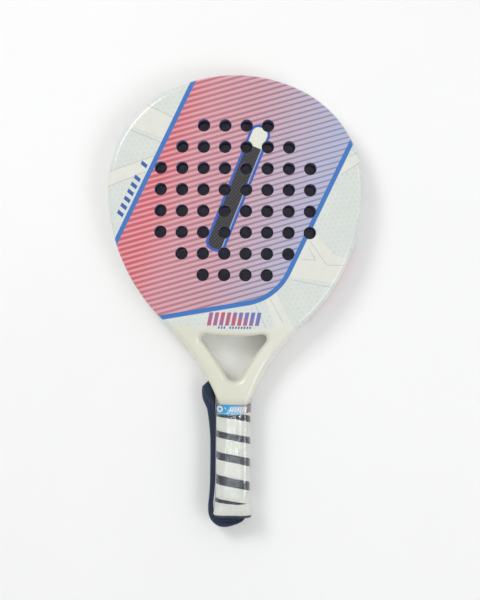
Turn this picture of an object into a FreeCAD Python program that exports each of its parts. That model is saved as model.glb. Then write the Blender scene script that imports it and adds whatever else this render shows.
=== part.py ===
"""Padel racket, modelled lying on its back face.

Millimetres. +Z leaves the front face, +Y runs along the racket towards the head's tip and +X is to the
right seen from above. The back face lies on Z = 0 and the origin is under the middle of the whole length.
The head, the throat and the handle are mirror images about X = 0, so most bodies draw the right half only.
"""
import FreeCAD
import Part
import math
import os
import Sketcher

from FreeCAD import Vector

DIMENSIONS = [
    # head outline, as tangent arcs from the tip down
    ("tip_y", 230, "tip of the head"),
    ("head_half_width", 130, "half of the head's width"),
    ("widest_y", 113.5, "height of the widest point"),
    ("shoulder_radius", 112.4, "arc above the widest point"),
    ("cheek_radius", 185.7, "arc below the widest point"),
    ("cheek_turn", 46.4, "degrees that the cheek arc turns"),
    ("throat_radius", 240.4, "hollow arc down the outside of the arms"),
    ("neck_radius", 25, "hollow arc from the arms into the handle"),
    # thickness
    ("head_thickness", 38, "thickness of the head"),
    ("handle_thickness", 26, "thickness of the bare handle"),
    ("middle_z", 19, "height of the mid-plane"),
    ("ridge_y", -30.5, "where the flat faces end above the throat"),
    ("crest_radius", 40, "rounding from the flat face into the throat"),
    ("crest_turn", 14, "steepest slope of the throat in degrees"),
    # frame tube and its hollow
    ("tube_width", 15, "width of the tube round the head"),
    ("tube_wall", 1.6, "wall of the tube"),
    ("rim_round", 5, "rounding of the outer edges"),
    ("tail_half_width", 14.5, "half of the bare handle's width"),
    ("tail_end_y", -210, "lower end of the tube"),
    ("core_half_width", 5.5, "half of the foam between the tube's ends"),
    ("core_top_y", -95, "top of the foam inside the handle"),
    # faces, foam core and holes
    ("face_thickness", 1.2, "thickness of a face sheet"),
    ("face_inset", 5, "the sheet stops this far inside the outline"),
    ("ridge_radius", 225, "curve of the sheet's lower edge"),
    ("ridge_corner", 45, "corner between the sheet's lower and side edges"),
    ("foam_bottom_y", -15, "lower edge of the foam core"),
    ("hole_radius", 6.25, "radius of the through holes"),
    ("hole_pitch", 21.7, "distance between holes both ways"),
    ("hole_top_y", 178.2, "height of the top row of holes"),
    # throat opening and bridge
    ("arm_width", 22, "width of an arm measured along X"),
    ("opening_top_y", -36.4, "middle of the opening's top edge"),
    ("opening_sag_radius", 150, "curve of the opening's top edge"),
    ("opening_corner", 5, "radius of the opening's top corners"),
    ("opening_toe", 9, "radius of the opening's lower end"),
    ("seat_top", 44, "half of the bridge's width at its top"),
    ("seat_bottom", 21, "half of the bridge's wedge at its lower end"),
    ("seat_bottom_y", -40, "lower end of the bridge's wedge"),
    # grip layers, measured outwards from the bare handle
    ("grip_top_y", -106, "top end of the base grip"),
    ("grip_seat_y", -111.5, "where the bare handle gets its full section"),
    ("grip_mouth", 1.5, "play round the neck at the grip's top end"),
    ("grip_thickness", 2.5, "thickness of the base grip"),
    ("flare_y", -200, "where the grip starts to flare"),
    ("grip_end_y", -218, "lower end of the grip"),
    ("butt_flare", 2, "how much the flare adds all round"),
    ("wrap_thickness", 0.7, "thickness of the wound strip and of the band"),
    ("wrap_top_y", -116.8, "top end of the wound strip"),
    ("wrap_pitch", 22.2, "rise of one turn of the strip"),
    ("wrap_gap", 8, "bare grip between two turns"),
    ("wrap_gap_y", -210.75, "middle of a gap on the handle's right side"),
    ("band_end_y", -115.8, "lower end of the printed band"),
    ("film_thickness", 0.3, "thickness of the clear film"),
    ("film_top_y", -100, "top end of the clear film"),
    # butt cap
    ("cap_skirt_y", -200, "top of the cap's skirt"),
    ("cap_skirt", 1.5, "thickness of the cap's skirt"),
    ("cap_end_y", -221, "end face of the cap"),
    ("cap_flange", 4.5, "the cap's flange, measured out from the bare handle"),
    ("cap_round", 1.5, "rounding round the cap's end face"),
    ("slot_x", 11.5, "middle of the strap's slot"),
    ("slot_play", 0.25, "play round the strap in its slot"),
    # wrist strap
    ("strap_width", 12, "width of the webbing, along Z"),
    ("strap_thickness", 4.5, "two layers of webbing"),
    ("stop_length", 6, "length of the sewn stop inside the cap"),
    ("stop_size", 14, "width and height of the sewn stop"),
    ("exit_bend", 2.6, "bend of the strap where it leaves the cap"),
    ("exit_y", -223.2, "corner of that bend"),
    ("low_bend", 6, "lowest bend of the strap"),
    ("low_x", -9, "corner of that bend"),
    ("low_y", -228.05, "the same, along Y"),
    ("hinge_x", -22.65, "axis on which the strap swings"),
    ("hinge_y", -222, "the same, along Y"),
    ("hinge_play", 1.75, "gap between the fixed and the moving strap"),
    ("strap_side_x", -18.4, "side of the strap that faces the grip"),
    ("strap_mid_y", -135, "where the strap starts to spread"),
    ("strap_lean_y", -101, "where the strap starts to lean on the arm"),
    ("strap_reach_x", -31, "outermost point of the strap's end"),
    ("strap_end_y", -81.5, "top of the strap's end"),
    ("strap_end_width", 6.4, "width of the strap's end beside the arm"),
    ("strap_end_straight", 13, "length of the strap's outermost side"),
    ("strap_end_round", 2.5, "rounding of the strap's end"),
]

doc = FreeCAD.newDocument("padel_racket")
sheet = doc.addObject("Spreadsheet::Sheet", "dims")


def fill_sheet():
    """Put every driving dimension in the sheet, with its meaning beside it."""
    for row, (alias, value, meaning) in enumerate(DIMENSIONS, start=1):
        sheet.set(f"A{row}", meaning)
        sheet.set(f"B{row}", str(value))
        sheet.setAlias(f"B{row}", alias)
    doc.recompute()


def value(expression):
    """The number that an expression of the sheet gives now."""
    return float(sheet.evalExpression(str(expression)))


def new_body(name):
    body = doc.addObject("PartDesign::Body", name)
    body.Label = name
    return body


# ---------------------------------------------------------------- sketches

class Drawing:
    """A sketch on one of its body's origin planes, whose sizes are expressions of the sheet."""

    def __init__(self, body, plane, name, raised="0"):
        self.sketch = body.newObject("Sketcher::SketchObject", name)
        base = [item for item in body.Origin.OriginFeatures if item.Role == plane][0]
        self.sketch.AttachmentSupport = [(base, "")]
        self.sketch.MapMode = "FlatFace"
        self.sketch.setExpression("AttachmentOffset.Base.z", str(raised))

    def line(self, start, end):
        segment = Part.LineSegment(Vector(*start, 0), Vector(*end, 0))
        return self.sketch.addGeometry(segment)

    def circle(self, centre, radius):
        ring = Part.Circle(Vector(*centre, 0), Vector(0, 0, 1), radius)
        return self.sketch.addGeometry(ring)

    def arc(self, centre, radius, first, last):
        """An arc that runs anticlockwise from angle first to angle last, in radians."""
        ring = Part.Circle(Vector(*centre, 0), Vector(0, 0, 1), radius)
        return self.sketch.addGeometry(Part.ArcOfCircle(ring, first, last))

    def rule(self, *parts):
        return self.sketch.addConstraint(Sketcher.Constraint(*parts))

    def size(self, kind, *parts):
        """A dimension: the last of the parts is its expression."""
        *where, expression = parts
        index = self.sketch.addConstraint(Sketcher.Constraint(kind, *where, value(expression)))
        self.sketch.setExpression(f"Constraints[{index}]", str(expression))

    def place(self, item, end, x, y):
        """Fix a point of the sketch at two expressions."""
        self.size("DistanceX", -1, 1, item, end, x)
        self.size("DistanceY", -1, 1, item, end, y)

    def polygon(self, corners):
        """A closed straight-sided outline through corners given as expressions."""
        points = [(value(x), value(y)) for x, y in corners]
        sides = [self.line(a, b) for a, b in zip(points, points[1:] + points[:1])]
        for side, following, corner in zip(sides, sides[1:] + sides[:1], corners[1:] + corners[:1]):
            self.rule("Coincident", side, 2, following, 1)
            self.place(following, 1, *corner)
        return sides

    def rectangle(self, left, low, right, high):
        self.polygon([(left, low), (right, low), (right, high), (left, high)])

    def rounded_rectangle(self, half_width, half_height, radius):
        """Centred on X = 0 and on the racket's mid-plane."""
        wide, tall, bend = value(half_width), value(half_height), value(radius)
        middle = value("dims.middle_z")
        centres = [(wide - bend, middle + tall - bend), (bend - wide, middle + tall - bend),
                   (bend - wide, middle + bend - tall), (wide - bend, middle + bend - tall)]
        signs = [(1, 1), (-1, 1), (-1, -1), (1, -1)]
        bends = []
        for turn, centre in enumerate(centres):
            bends.append(self.arc(centre, bend, turn * math.pi / 2, (turn + 1) * math.pi / 2))
        for turn, (right, up) in enumerate(signs):
            start = self.sketch.getPoint(bends[turn], 2)
            end = self.sketch.getPoint(bends[(turn + 1) % 4], 1)
            side = self.line((start.x, start.y), (end.x, end.y))
            self.rule("Tangent", bends[turn], 2, side, 1)
            self.rule("Tangent", side, 2, bends[(turn + 1) % 4], 1)
            self.rule("Horizontal" if turn % 2 == 0 else "Vertical", side)
            if turn:
                self.rule("Equal", bends[0], bends[turn])
        self.size("Radius", bends[0], radius)
        self.place(bends[0], 3, f"({half_width}) - ({radius})",
                   f"dims.middle_z + ({half_height}) - ({radius})")
        self.place(bends[2], 3, f"({radius}) - ({half_width})",
                   f"dims.middle_z - ({half_height}) + ({radius})")


# ---------------------------------------------------------------- features

def new_feature(body, kind, drawing, label):
    feature = body.newObject(f"PartDesign::{kind}", label)
    feature.Profile = drawing.sketch
    drawing.sketch.Visibility = False
    return feature


def pad(body, drawing, length, label="pad"):
    feature = new_feature(body, "Pad", drawing, label)
    feature.setExpression("Length", str(length))
    return feature


def pocket_through(body, drawing, label):
    """Cut the profile right through, both ways from its plane."""
    feature = new_feature(body, "Pocket", drawing, label)
    feature.Type = 1
    feature.Midplane = True
    return feature


def pocket(body, drawing, length, label, reverse=False):
    feature = new_feature(body, "Pocket", drawing, label)
    feature.Reversed = reverse
    feature.setExpression("Length", str(length))
    return feature


def mirror_body(body):
    """Mirror all of the right half about X = 0."""
    doc.recompute()
    feature = body.newObject("PartDesign::Mirrored", "both_sides")
    feature.TransformMode = "Whole shape"
    plane = [item for item in body.Origin.OriginFeatures if item.Role == "YZ_Plane"][0]
    feature.MirrorPlane = (plane, [""])
    body.Tip = feature
    doc.recompute()
    return feature


# ---------------------------------------------------------------- arcs that several outlines share

def shoulder_centre():
    return Vector(value("dims.head_half_width - dims.shoulder_radius"), value("dims.widest_y"), 0)


def cheek_centre():
    return Vector(value("dims.head_half_width - dims.cheek_radius"), value("dims.widest_y"), 0)


def crown_circle():
    """Centre and radius of the arc over the tip, tangent to the shoulder arc."""
    shoulder = shoulder_centre()
    radius = value("dims.shoulder_radius")
    rise = value("dims.tip_y") - shoulder.y
    crown = (shoulder.x ** 2 + rise ** 2 - radius ** 2) / (2 * (rise - radius))
    return Vector(0, value("dims.tip_y") - crown, 0), crown


def throat_centre():
    turn = math.radians(value("dims.cheek_turn"))
    reach = value("dims.cheek_radius + dims.throat_radius")
    return cheek_centre() + Vector(math.cos(turn), -math.sin(turn), 0) * reach


def neck_centre():
    """Centre of the small arc that is tangent to the throat arc and to the handle's side."""
    throat = throat_centre()
    x = value("dims.tail_half_width + dims.neck_radius")
    reach = value("dims.throat_radius - dims.neck_radius")
    return Vector(x, throat.y + math.sqrt(reach ** 2 - (throat.x - x) ** 2), 0)


def angle_of(vector):
    return math.atan2(vector.y, vector.x)


def draw_head_arcs(drawing, inset, cheek_end):
    """Crown, shoulder and cheek arcs of the right half, inset from the outline.

    cheek_end is the angle below level at which the cheek arc stops, in radians.
    """
    less = value(inset)
    crown_at, crown = crown_circle()
    shoulder_at, cheek_at = shoulder_centre(), cheek_centre()
    join = angle_of(shoulder_at - crown_at)
    crown_arc = drawing.arc(crown_at[:2], crown - less, join, math.pi / 2)
    shoulder_arc = drawing.arc(shoulder_at[:2], value("dims.shoulder_radius") - less, 0, join)
    cheek_arc = drawing.arc(cheek_at[:2], value("dims.cheek_radius") - less, -cheek_end, 0)
    drawing.rule("PointOnObject", crown_arc, 3, -2)
    drawing.rule("PointOnObject", crown_arc, 2, -2)
    drawing.rule("Tangent", crown_arc, 1, shoulder_arc, 2)
    drawing.rule("Tangent", shoulder_arc, 1, cheek_arc, 2)
    drawing.rule("Horizontal", shoulder_arc, 3, shoulder_arc, 1)
    drawing.size("DistanceY", -1, 1, crown_arc, 2, f"dims.tip_y - ({inset})")
    drawing.place(shoulder_arc, 1, f"dims.head_half_width - ({inset})", "dims.widest_y")
    drawing.size("Radius", shoulder_arc, f"dims.shoulder_radius - ({inset})")
    drawing.size("Radius", cheek_arc, f"dims.cheek_radius - ({inset})")
    return crown_arc, cheek_arc


def draw_outline_side(drawing, inset):
    """The outline from the tip down to the handle's side, inset all along."""
    turn = math.radians(value("dims.cheek_turn"))
    less = value(inset)
    crown_arc, cheek_arc = draw_head_arcs(drawing, inset, turn)
    throat_at, neck_at = throat_centre(), neck_centre()
    meet = angle_of(neck_at - throat_at)
    throat_arc = drawing.arc(throat_at[:2], value("dims.throat_radius") + less, math.pi - turn, meet)
    neck_arc = drawing.arc(neck_at[:2], value("dims.neck_radius") + less, meet, math.pi)
    drawing.rule("Tangent", cheek_arc, 1, throat_arc, 1)
    drawing.rule("Tangent", throat_arc, 2, neck_arc, 1)
    drawing.size("DistanceY", -1, 1, cheek_arc, 1,
                 f"dims.widest_y - (dims.cheek_radius - ({inset})) * sin(dims.cheek_turn)")
    drawing.size("Radius", throat_arc, f"dims.throat_radius + ({inset})")
    drawing.size("Radius", neck_arc, f"dims.neck_radius + ({inset})")
    side_top = drawing.sketch.getPoint(neck_arc, 2)
    side = drawing.line((side_top.x, side_top.y), (side_top.x, value("dims.tail_end_y")))
    drawing.rule("Tangent", neck_arc, 2, side, 1)
    drawing.rule("Vertical", side)
    drawing.size("DistanceX", -1, 1, side, 1, f"dims.tail_half_width - ({inset})")
    drawing.size("DistanceY", -1, 1, side, 2, "dims.tail_end_y")
    return crown_arc, side


def close_on_axis(drawing, top, bottom):
    """Join the two ends of a half outline along X = 0; each end is a piece of geometry and its end."""
    high = drawing.sketch.getPoint(*top)
    low = drawing.sketch.getPoint(*bottom)
    axis = drawing.line((high.x, high.y), (low.x, low.y))
    drawing.rule("Coincident", axis, 1, *top)
    drawing.rule("Coincident", axis, 2, *bottom)


def draw_outline(drawing):
    """Right half of the whole racket seen from above."""
    crown_arc, side = draw_outline_side(drawing, "0")
    foot = drawing.sketch.getPoint(side, 2)
    base = drawing.line((foot.x, foot.y), (0, foot.y))
    drawing.rule("Coincident", side, 2, base, 1)
    drawing.rule("Horizontal", base)
    drawing.rule("PointOnObject", base, 2, -2)
    close_on_axis(drawing, (crown_arc, 2), (base, 2))


def draw_face(drawing):
    """Right half of a face sheet: the head's arcs, then a corner arc and the curved ridge."""
    inset = "dims.face_inset"
    cheek_at = cheek_centre()
    cheek = value(f"dims.cheek_radius - {inset}")
    corner, ridge = value("dims.ridge_corner"), value("dims.ridge_radius")
    ridge_at = Vector(0, value("dims.ridge_y") + ridge, 0)
    # the corner's centre lies (cheek - corner) from one centre and (ridge - corner) from the other
    gap = ridge_at - cheek_at
    near, far = cheek - corner, ridge - corner
    along = (near ** 2 - far ** 2 + gap.Length ** 2) / (2 * gap.Length)
    across = math.sqrt(near ** 2 - along ** 2)
    unit = Vector(gap).normalize()
    corner_at = cheek_at + unit * along + Vector(unit.y, -unit.x, 0) * across
    cheek_end = angle_of(corner_at - cheek_at)
    ridge_end = angle_of(corner_at - ridge_at)
    crown_arc, cheek_arc = draw_head_arcs(drawing, inset, -cheek_end)
    corner_arc = drawing.arc(corner_at[:2], corner, ridge_end, cheek_end)
    ridge_arc = drawing.arc(ridge_at[:2], ridge, -math.pi / 2, ridge_end)
    drawing.rule("Tangent", cheek_arc, 1, corner_arc, 2)
    drawing.rule("Tangent", corner_arc, 1, ridge_arc, 2)
    drawing.rule("PointOnObject", ridge_arc, 3, -2)
    drawing.rule("PointOnObject", ridge_arc, 1, -2)
    drawing.size("Radius", corner_arc, "dims.ridge_corner")
    drawing.size("Radius", ridge_arc, "dims.ridge_radius")
    drawing.size("DistanceY", -1, 1, ridge_arc, 1, "dims.ridge_y")
    close_on_axis(drawing, (crown_arc, 2), (ridge_arc, 1))


def draw_foam(drawing):
    """Right half of the space inside the tube: the head's arcs and a straight lower edge."""
    inset = "dims.tube_width"
    radius = value(f"dims.cheek_radius - {inset}")
    drop = value("dims.widest_y - dims.foam_bottom_y")
    crown_arc, cheek_arc = draw_head_arcs(drawing, inset, math.asin(drop / radius))
    corner = drawing.sketch.getPoint(cheek_arc, 1)
    base = drawing.line((corner.x, corner.y), (0, corner.y))
    drawing.rule("Coincident", cheek_arc, 1, base, 1)
    drawing.rule("Horizontal", base)
    drawing.rule("PointOnObject", base, 2, -2)
    drawing.size("DistanceY", -1, 1, base, 1, "dims.foam_bottom_y")
    close_on_axis(drawing, (crown_arc, 2), (base, 2))


def draw_opening(drawing):
    """Right half of the throat triangle: sagging top edge, round corner, hollow side and round toe."""
    side_at = throat_centre() - Vector(value("dims.arm_width"), 0, 0)
    side = value("dims.throat_radius")
    sag, corner, toe = (value(f"dims.opening_{part}") for part in ("sag_radius", "corner", "toe"))
    sag_at = Vector(0, value("dims.opening_top_y") + sag, 0)
    # the corner circle touches the sagging edge and the side from inside the opening
    gap = side_at - sag_at
    near, far = sag + corner, side + corner
    along = (near ** 2 - far ** 2 + gap.Length ** 2) / (2 * gap.Length)
    across = math.sqrt(near ** 2 - along ** 2)
    unit = Vector(gap).normalize()
    corner_at = sag_at + unit * along + Vector(unit.y, -unit.x, 0) * across
    # the toe circle is centred on X = 0 and touches the side
    toe_at = Vector(0, side_at.y + math.sqrt((side + toe) ** 2 - side_at.x ** 2), 0)
    top_arc = drawing.arc(sag_at[:2], sag, -math.pi / 2, angle_of(corner_at - sag_at))
    corner_arc = drawing.arc(corner_at[:2], corner, angle_of(side_at - corner_at),
                             angle_of(sag_at - corner_at))
    side_arc = drawing.arc(side_at[:2], side, angle_of(corner_at - side_at), angle_of(toe_at - side_at))
    toe_arc = drawing.arc(toe_at[:2], toe, -math.pi / 2, angle_of(side_at - toe_at))
    drawing.rule("Tangent", top_arc, 2, corner_arc, 2)
    drawing.rule("Tangent", corner_arc, 1, side_arc, 1)
    drawing.rule("Tangent", side_arc, 2, toe_arc, 2)
    for arc in (top_arc, toe_arc):
        drawing.rule("PointOnObject", arc, 3, -2)
        drawing.rule("PointOnObject", arc, 1, -2)
    drawing.size("Radius", top_arc, "dims.opening_sag_radius")
    drawing.size("Radius", corner_arc, "dims.opening_corner")
    drawing.size("Radius", side_arc, "dims.throat_radius")
    drawing.size("Radius", toe_arc, "dims.opening_toe")
    drawing.size("DistanceY", -1, 1, top_arc, 1, "dims.opening_top_y")
    reach = "(dims.cheek_radius + dims.throat_radius)"
    drawing.place(side_arc, 3,
                  "dims.head_half_width - dims.cheek_radius"
                  f" + {reach} * cos(dims.cheek_turn) - dims.arm_width",
                  f"dims.widest_y - {reach} * sin(dims.cheek_turn)")
    close_on_axis(drawing, (top_arc, 1), (toe_arc, 1))


def draw_slope(drawing, front):
    """What the throat and the handle lack of the head's thickness, seen from the side."""
    sign = 1 if front else -1
    turn = math.radians(value("dims.crest_turn"))
    start = (value("dims.ridge_y"), value("dims.middle_z") + sign * value("dims.head_thickness") / 2)
    crest = value("dims.crest_radius")
    fall = value("(dims.head_thickness - dims.handle_thickness) / 2")
    dip = fall / (1 - math.cos(turn)) - crest
    foot_y = start[0] - (crest + dip) * math.sin(turn)
    foot_z = start[1] - sign * fall
    outer_z = start[1] + sign * crest
    end_y = value("dims.cap_end_y")
    crest_at = (start[0], start[1] - sign * crest)
    dip_at = (foot_y, foot_z + sign * dip)
    if front:
        crest_arc = drawing.arc(crest_at, crest, math.pi / 2, math.pi / 2 + turn)
        dip_arc = drawing.arc(dip_at, dip, -math.pi / 2, -math.pi / 2 + turn)
        first, last, dip_first, dip_last = 1, 2, 1, 2
    else:
        crest_arc = drawing.arc(crest_at, crest, -math.pi / 2 - turn, -math.pi / 2)
        dip_arc = drawing.arc(dip_at, dip, math.pi / 2 - turn, math.pi / 2)
        first, last, dip_first, dip_last = 2, 1, 2, 1
    flat = drawing.line((foot_y, foot_z), (end_y, foot_z))
    end = drawing.line((end_y, foot_z), (end_y, outer_z))
    outside = drawing.line((end_y, outer_z), (start[0], outer_z))
    drop = drawing.line((start[0], outer_z), start)
    drawing.rule("Tangent", crest_arc, last, dip_arc, dip_last)
    drawing.rule("Tangent", dip_arc, dip_first, flat, 1)
    drawing.rule("Coincident", flat, 2, end, 1)
    drawing.rule("Coincident", end, 2, outside, 1)
    drawing.rule("Coincident", outside, 2, drop, 1)
    drawing.rule("Coincident", drop, 2, crest_arc, first)
    drawing.rule("Horizontal", flat)
    drawing.rule("Vertical", end)
    drawing.rule("Horizontal", outside)
    drawing.rule("Vertical", drop)
    drawing.rule("Vertical", crest_arc, 3, crest_arc, first)
    drawing.size("Radius", crest_arc, "dims.crest_radius")
    drawing.place(drop, 2, "dims.ridge_y", f"dims.middle_z + {sign} * dims.head_thickness / 2")
    drawing.place(flat, 2, "dims.cap_end_y", f"dims.middle_z + {sign} * dims.handle_thickness / 2")
    drawing.size("DistanceY", -1, 1, outside, 1,
                 f"dims.middle_z + {sign} * (dims.head_thickness / 2 + dims.crest_radius)")
    drawing.size("DistanceX", -1, 1, crest_arc, last,
                 "dims.ridge_y - dims.crest_radius * sin(dims.crest_turn)")


def drill_holes(body):
    """The field of through holes: eight rows of eight, less the corners of the field."""
    drawing = Drawing(body, "XY_Plane", "holes")
    first = None
    radius = value("dims.hole_radius")
    for row, count in enumerate([4, 6, 8, 8, 8, 8, 6, 4]):
        for step in range(count):
            x = f"{step - (count - 1) / 2} * dims.hole_pitch"
            y = f"dims.hole_top_y - {row} * dims.hole_pitch"
            ring = drawing.circle((value(x), value(y)), radius)
            drawing.place(ring, 3, x, y)
            if first is None:
                first = ring
                drawing.size("Radius", ring, "dims.hole_radius")
            else:
                drawing.rule("Equal", first, ring)
    pocket_through(body, drawing, "drill")


# ---------------------------------------------------------------- throat shared by tube and bridge

def is_upright(face):
    low_u, high_u, low_v, high_v = face.ParameterRange
    return abs(face.normalAt((low_u + high_u) / 2, (low_v + high_v) / 2).z) < 0.01


def rim_edges(shape, skip):
    """Names of the edges between an upright outer wall and a front or back surface.

    skip says which upright faces keep their edges sharp.
    """
    names = []
    for number, edge in enumerate(shape.Edges, start=1):
        faces = shape.ancestorsOfType(edge, Part.Face)
        if len(faces) != 2 or any(skip(face) for face in faces):
            continue
        if is_upright(faces[0]) != is_upright(faces[1]):
            names.append(f"Edge{number}")
    return names


def round_rim(body, skip):
    doc.recompute()
    base = body.Tip
    feature = body.newObject("PartDesign::Fillet", "rim")
    feature.Base = (base, rim_edges(base.Shape, skip))
    feature.setExpression("Radius", "dims.rim_round")
    doc.recompute()


def slope_throat(body):
    """Thin the throat and the handle from both sides."""
    for front, label in ((True, "front_slope"), (False, "back_slope")):
        drawing = Drawing(body, "YZ_Plane", f"{label}_profile")
        draw_slope(drawing, front)
        pocket_through(body, drawing, label)


def seat_faces(body):
    """Sink the front and back surfaces where the face sheets lie."""
    front = Drawing(body, "XY_Plane", "front_seat_outline", "dims.head_thickness")
    draw_face(front)
    pocket(body, front, "dims.face_thickness", "front_seat")
    back = Drawing(body, "XY_Plane", "back_seat_outline")
    draw_face(back)
    pocket(body, back, "dims.face_thickness", "back_seat", reverse=True)


def draw_wedge(drawing):
    """Right half of the bridge's outline before the opening is cut."""
    drawing.polygon([("0", "dims.foam_bottom_y"), ("0", "dims.seat_bottom_y"),
                     ("dims.seat_bottom", "dims.seat_bottom_y"), ("dims.seat_top", "dims.foam_bottom_y")])


def on_axis_plane(face):
    return face.BoundBox.XLength < 0.001 and abs(face.BoundBox.XMin) < 0.001


# ---------------------------------------------------------------- the parts

def make_tube_hollow():
    """The space inside the right half of the tube: its plan, and its height seen from the side."""
    plan = new_body("hollow_plan")
    drawing = Drawing(plan, "XY_Plane", "hollow_outline")
    outer_crown, outer_side = draw_outline_side(drawing, "dims.tube_wall")
    inner = "dims.tube_width - dims.tube_wall"
    turn = math.radians(value("dims.cheek_turn"))
    inner_crown, inner_cheek = draw_head_arcs(drawing, inner, turn)
    throat_at = throat_centre()
    radius = value(f"dims.throat_radius + {inner}")
    inside_x = value("dims.core_half_width + dims.tube_wall")
    end = math.pi - math.acos((throat_at.x - inside_x) / radius)
    throat_arc = drawing.arc(throat_at[:2], radius, math.pi - turn, end)
    drawing.rule("Tangent", inner_cheek, 1, throat_arc, 1)
    drawing.size("Radius", throat_arc, f"dims.throat_radius + {inner}")
    drawing.size("DistanceY", -1, 1, inner_cheek, 1,
                 f"dims.widest_y - (dims.cheek_radius - ({inner})) * sin(dims.cheek_turn)")
    top = drawing.sketch.getPoint(throat_arc, 2)
    foot_y = value("dims.tail_end_y")
    inside = drawing.line((top.x, top.y), (top.x, foot_y))
    base = drawing.line((top.x, foot_y), (drawing.sketch.getPoint(outer_side, 2).x, foot_y))
    drawing.rule("Coincident", throat_arc, 2, inside, 1)
    drawing.rule("Vertical", inside)
    drawing.rule("Coincident", inside, 2, base, 1)
    drawing.rule("Coincident", base, 2, outer_side, 2)
    drawing.rule("Horizontal", base)
    drawing.size("DistanceX", -1, 1, inside, 1, "dims.core_half_width + dims.tube_wall")
    close_on_axis(drawing, (outer_crown, 2), (inner_crown, 2))
    pad(plan, drawing, "dims.head_thickness")

    height = new_body("hollow_height")
    drawing = Drawing(height, "YZ_Plane", "hollow_profile")
    head = "(dims.head_thickness / 2 - dims.face_thickness - dims.tube_wall)"
    tail = "(dims.handle_thickness / 2 - dims.tube_wall)"
    slope_end = ("dims.ridge_y - (dims.head_thickness - dims.handle_thickness) / 2"
                 " / (1 - cos(dims.crest_turn)) * sin(dims.crest_turn)")
    corners = [("dims.tip_y", head), ("dims.ridge_y", head), (slope_end, tail), ("dims.cap_end_y", tail)]
    upper = [(y, f"dims.middle_z + {half}") for y, half in corners]
    lower = [(y, f"dims.middle_z - {half}") for y, half in reversed(corners)]
    drawing.polygon(upper + lower)
    pad(height, drawing, "dims.head_half_width")

    return combine("Common", "tube_hollow", plan, height)


def make_blank(name):
    """Right half of the racket's outer shape, solid: outline, slopes, throat opening and round rims."""
    body = new_body(name)
    drawing = Drawing(body, "XY_Plane", "racket_outline")
    draw_outline(drawing)
    pad(body, drawing, "dims.head_thickness")
    slope_throat(body)
    drawing = Drawing(body, "XY_Plane", "throat_opening")
    draw_opening(drawing)
    pocket_through(body, drawing, "open_throat")
    end_y = value("dims.tail_end_y")
    round_rim(body, lambda face: on_axis_plane(face) or face.BoundBox.YMax < end_y + 0.001)
    seat_faces(body)
    return body


def join_halves(half, label):
    """The right half and its mirror image as one object."""
    other = doc.addObject("Part::Mirroring", f"{label}_other_half")
    other.Source = half
    other.Normal = Vector(1, 0, 0)
    whole = doc.addObject("Part::Fuse", label)
    whole.Base = half
    whole.Tool = other
    whole.Refine = True
    whole.Label = label
    return whole


def combine(kind, label, base, tool):
    result = doc.addObject(f"Part::{kind}", label)
    result.Base = base
    result.Tool = tool
    return result


def make_frame_tube():
    """Hollow tube round the head, down the arms and along both sides of the handle."""
    half = make_blank("tube_half")
    drawing = Drawing(half, "XY_Plane", "foam_space")
    draw_foam(drawing)
    pocket_through(half, drawing, "open_head")
    drawing = Drawing(half, "XY_Plane", "bridge_space")
    draw_wedge(drawing)
    pocket_through(half, drawing, "open_bridge")
    drawing = Drawing(half, "XY_Plane", "handle_space")
    drawing.rectangle("0", "dims.cap_end_y", "dims.core_half_width", "dims.core_top_y")
    pocket_through(half, drawing, "open_handle")
    hollow_half = combine("Cut", "hollow_tube_half", half, make_tube_hollow())
    return join_halves(hollow_half, "frame_tube")


def make_throat_bridge():
    """Wedge between the arms, below the foam; its lower edge is the top of the throat opening."""
    wedge = new_body("bridge_wedge")
    drawing = Drawing(wedge, "XY_Plane", "bridge_outline")
    draw_wedge(drawing)
    pad(wedge, drawing, "dims.head_thickness")
    half = combine("Common", "bridge_half", make_blank("bridge_blank"), wedge)
    return join_halves(half, "throat_bridge")


def make_foam_core():
    body = new_body("foam_core")
    drawing = Drawing(body, "XY_Plane", "foam_outline", "dims.face_thickness")
    draw_foam(drawing)
    pad(body, drawing, "dims.head_thickness - 2 * dims.face_thickness")
    mirror_body(body)
    drill_holes(body)
    return body


def make_face(name, height):
    body = new_body(name)
    drawing = Drawing(body, "XY_Plane", "sheet_outline", height)
    draw_face(drawing)
    pad(body, drawing, "dims.face_thickness")
    mirror_body(body)
    drill_holes(body)
    return body


def make_handle_core():
    body = new_body("handle_core")
    drawing = Drawing(body, "XY_Plane", "core_outline", "dims.middle_z - dims.handle_thickness / 2")
    drawing.rectangle("-dims.core_half_width", "dims.tail_end_y", "dims.core_half_width", "dims.core_top_y")
    pad(body, drawing, "dims.handle_thickness")
    return body


def handle_section(body, name, y, out):
    """The bare handle's section, grown outwards all round, at a height along the handle."""
    drawing = Drawing(body, "XZ_Plane", name, f"-({y})")
    drawing.rounded_rectangle(f"dims.tail_half_width + {out}", f"dims.handle_thickness / 2 + {out}",
                              f"dims.rim_round + {out}")
    return drawing


def loft_sections(body, kind, label, stations):
    """Join sections of the handle, given as pairs of a height and how far out, by straight sides."""
    drawings = [handle_section(body, f"{label}_{number}", y, out)
                for number, (y, out) in enumerate(stations)]
    feature = new_feature(body, kind, drawings[0], label)
    feature.Sections = [drawing.sketch for drawing in drawings[1:]]
    feature.Ruled = True
    doc.recompute()
    return feature


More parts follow.
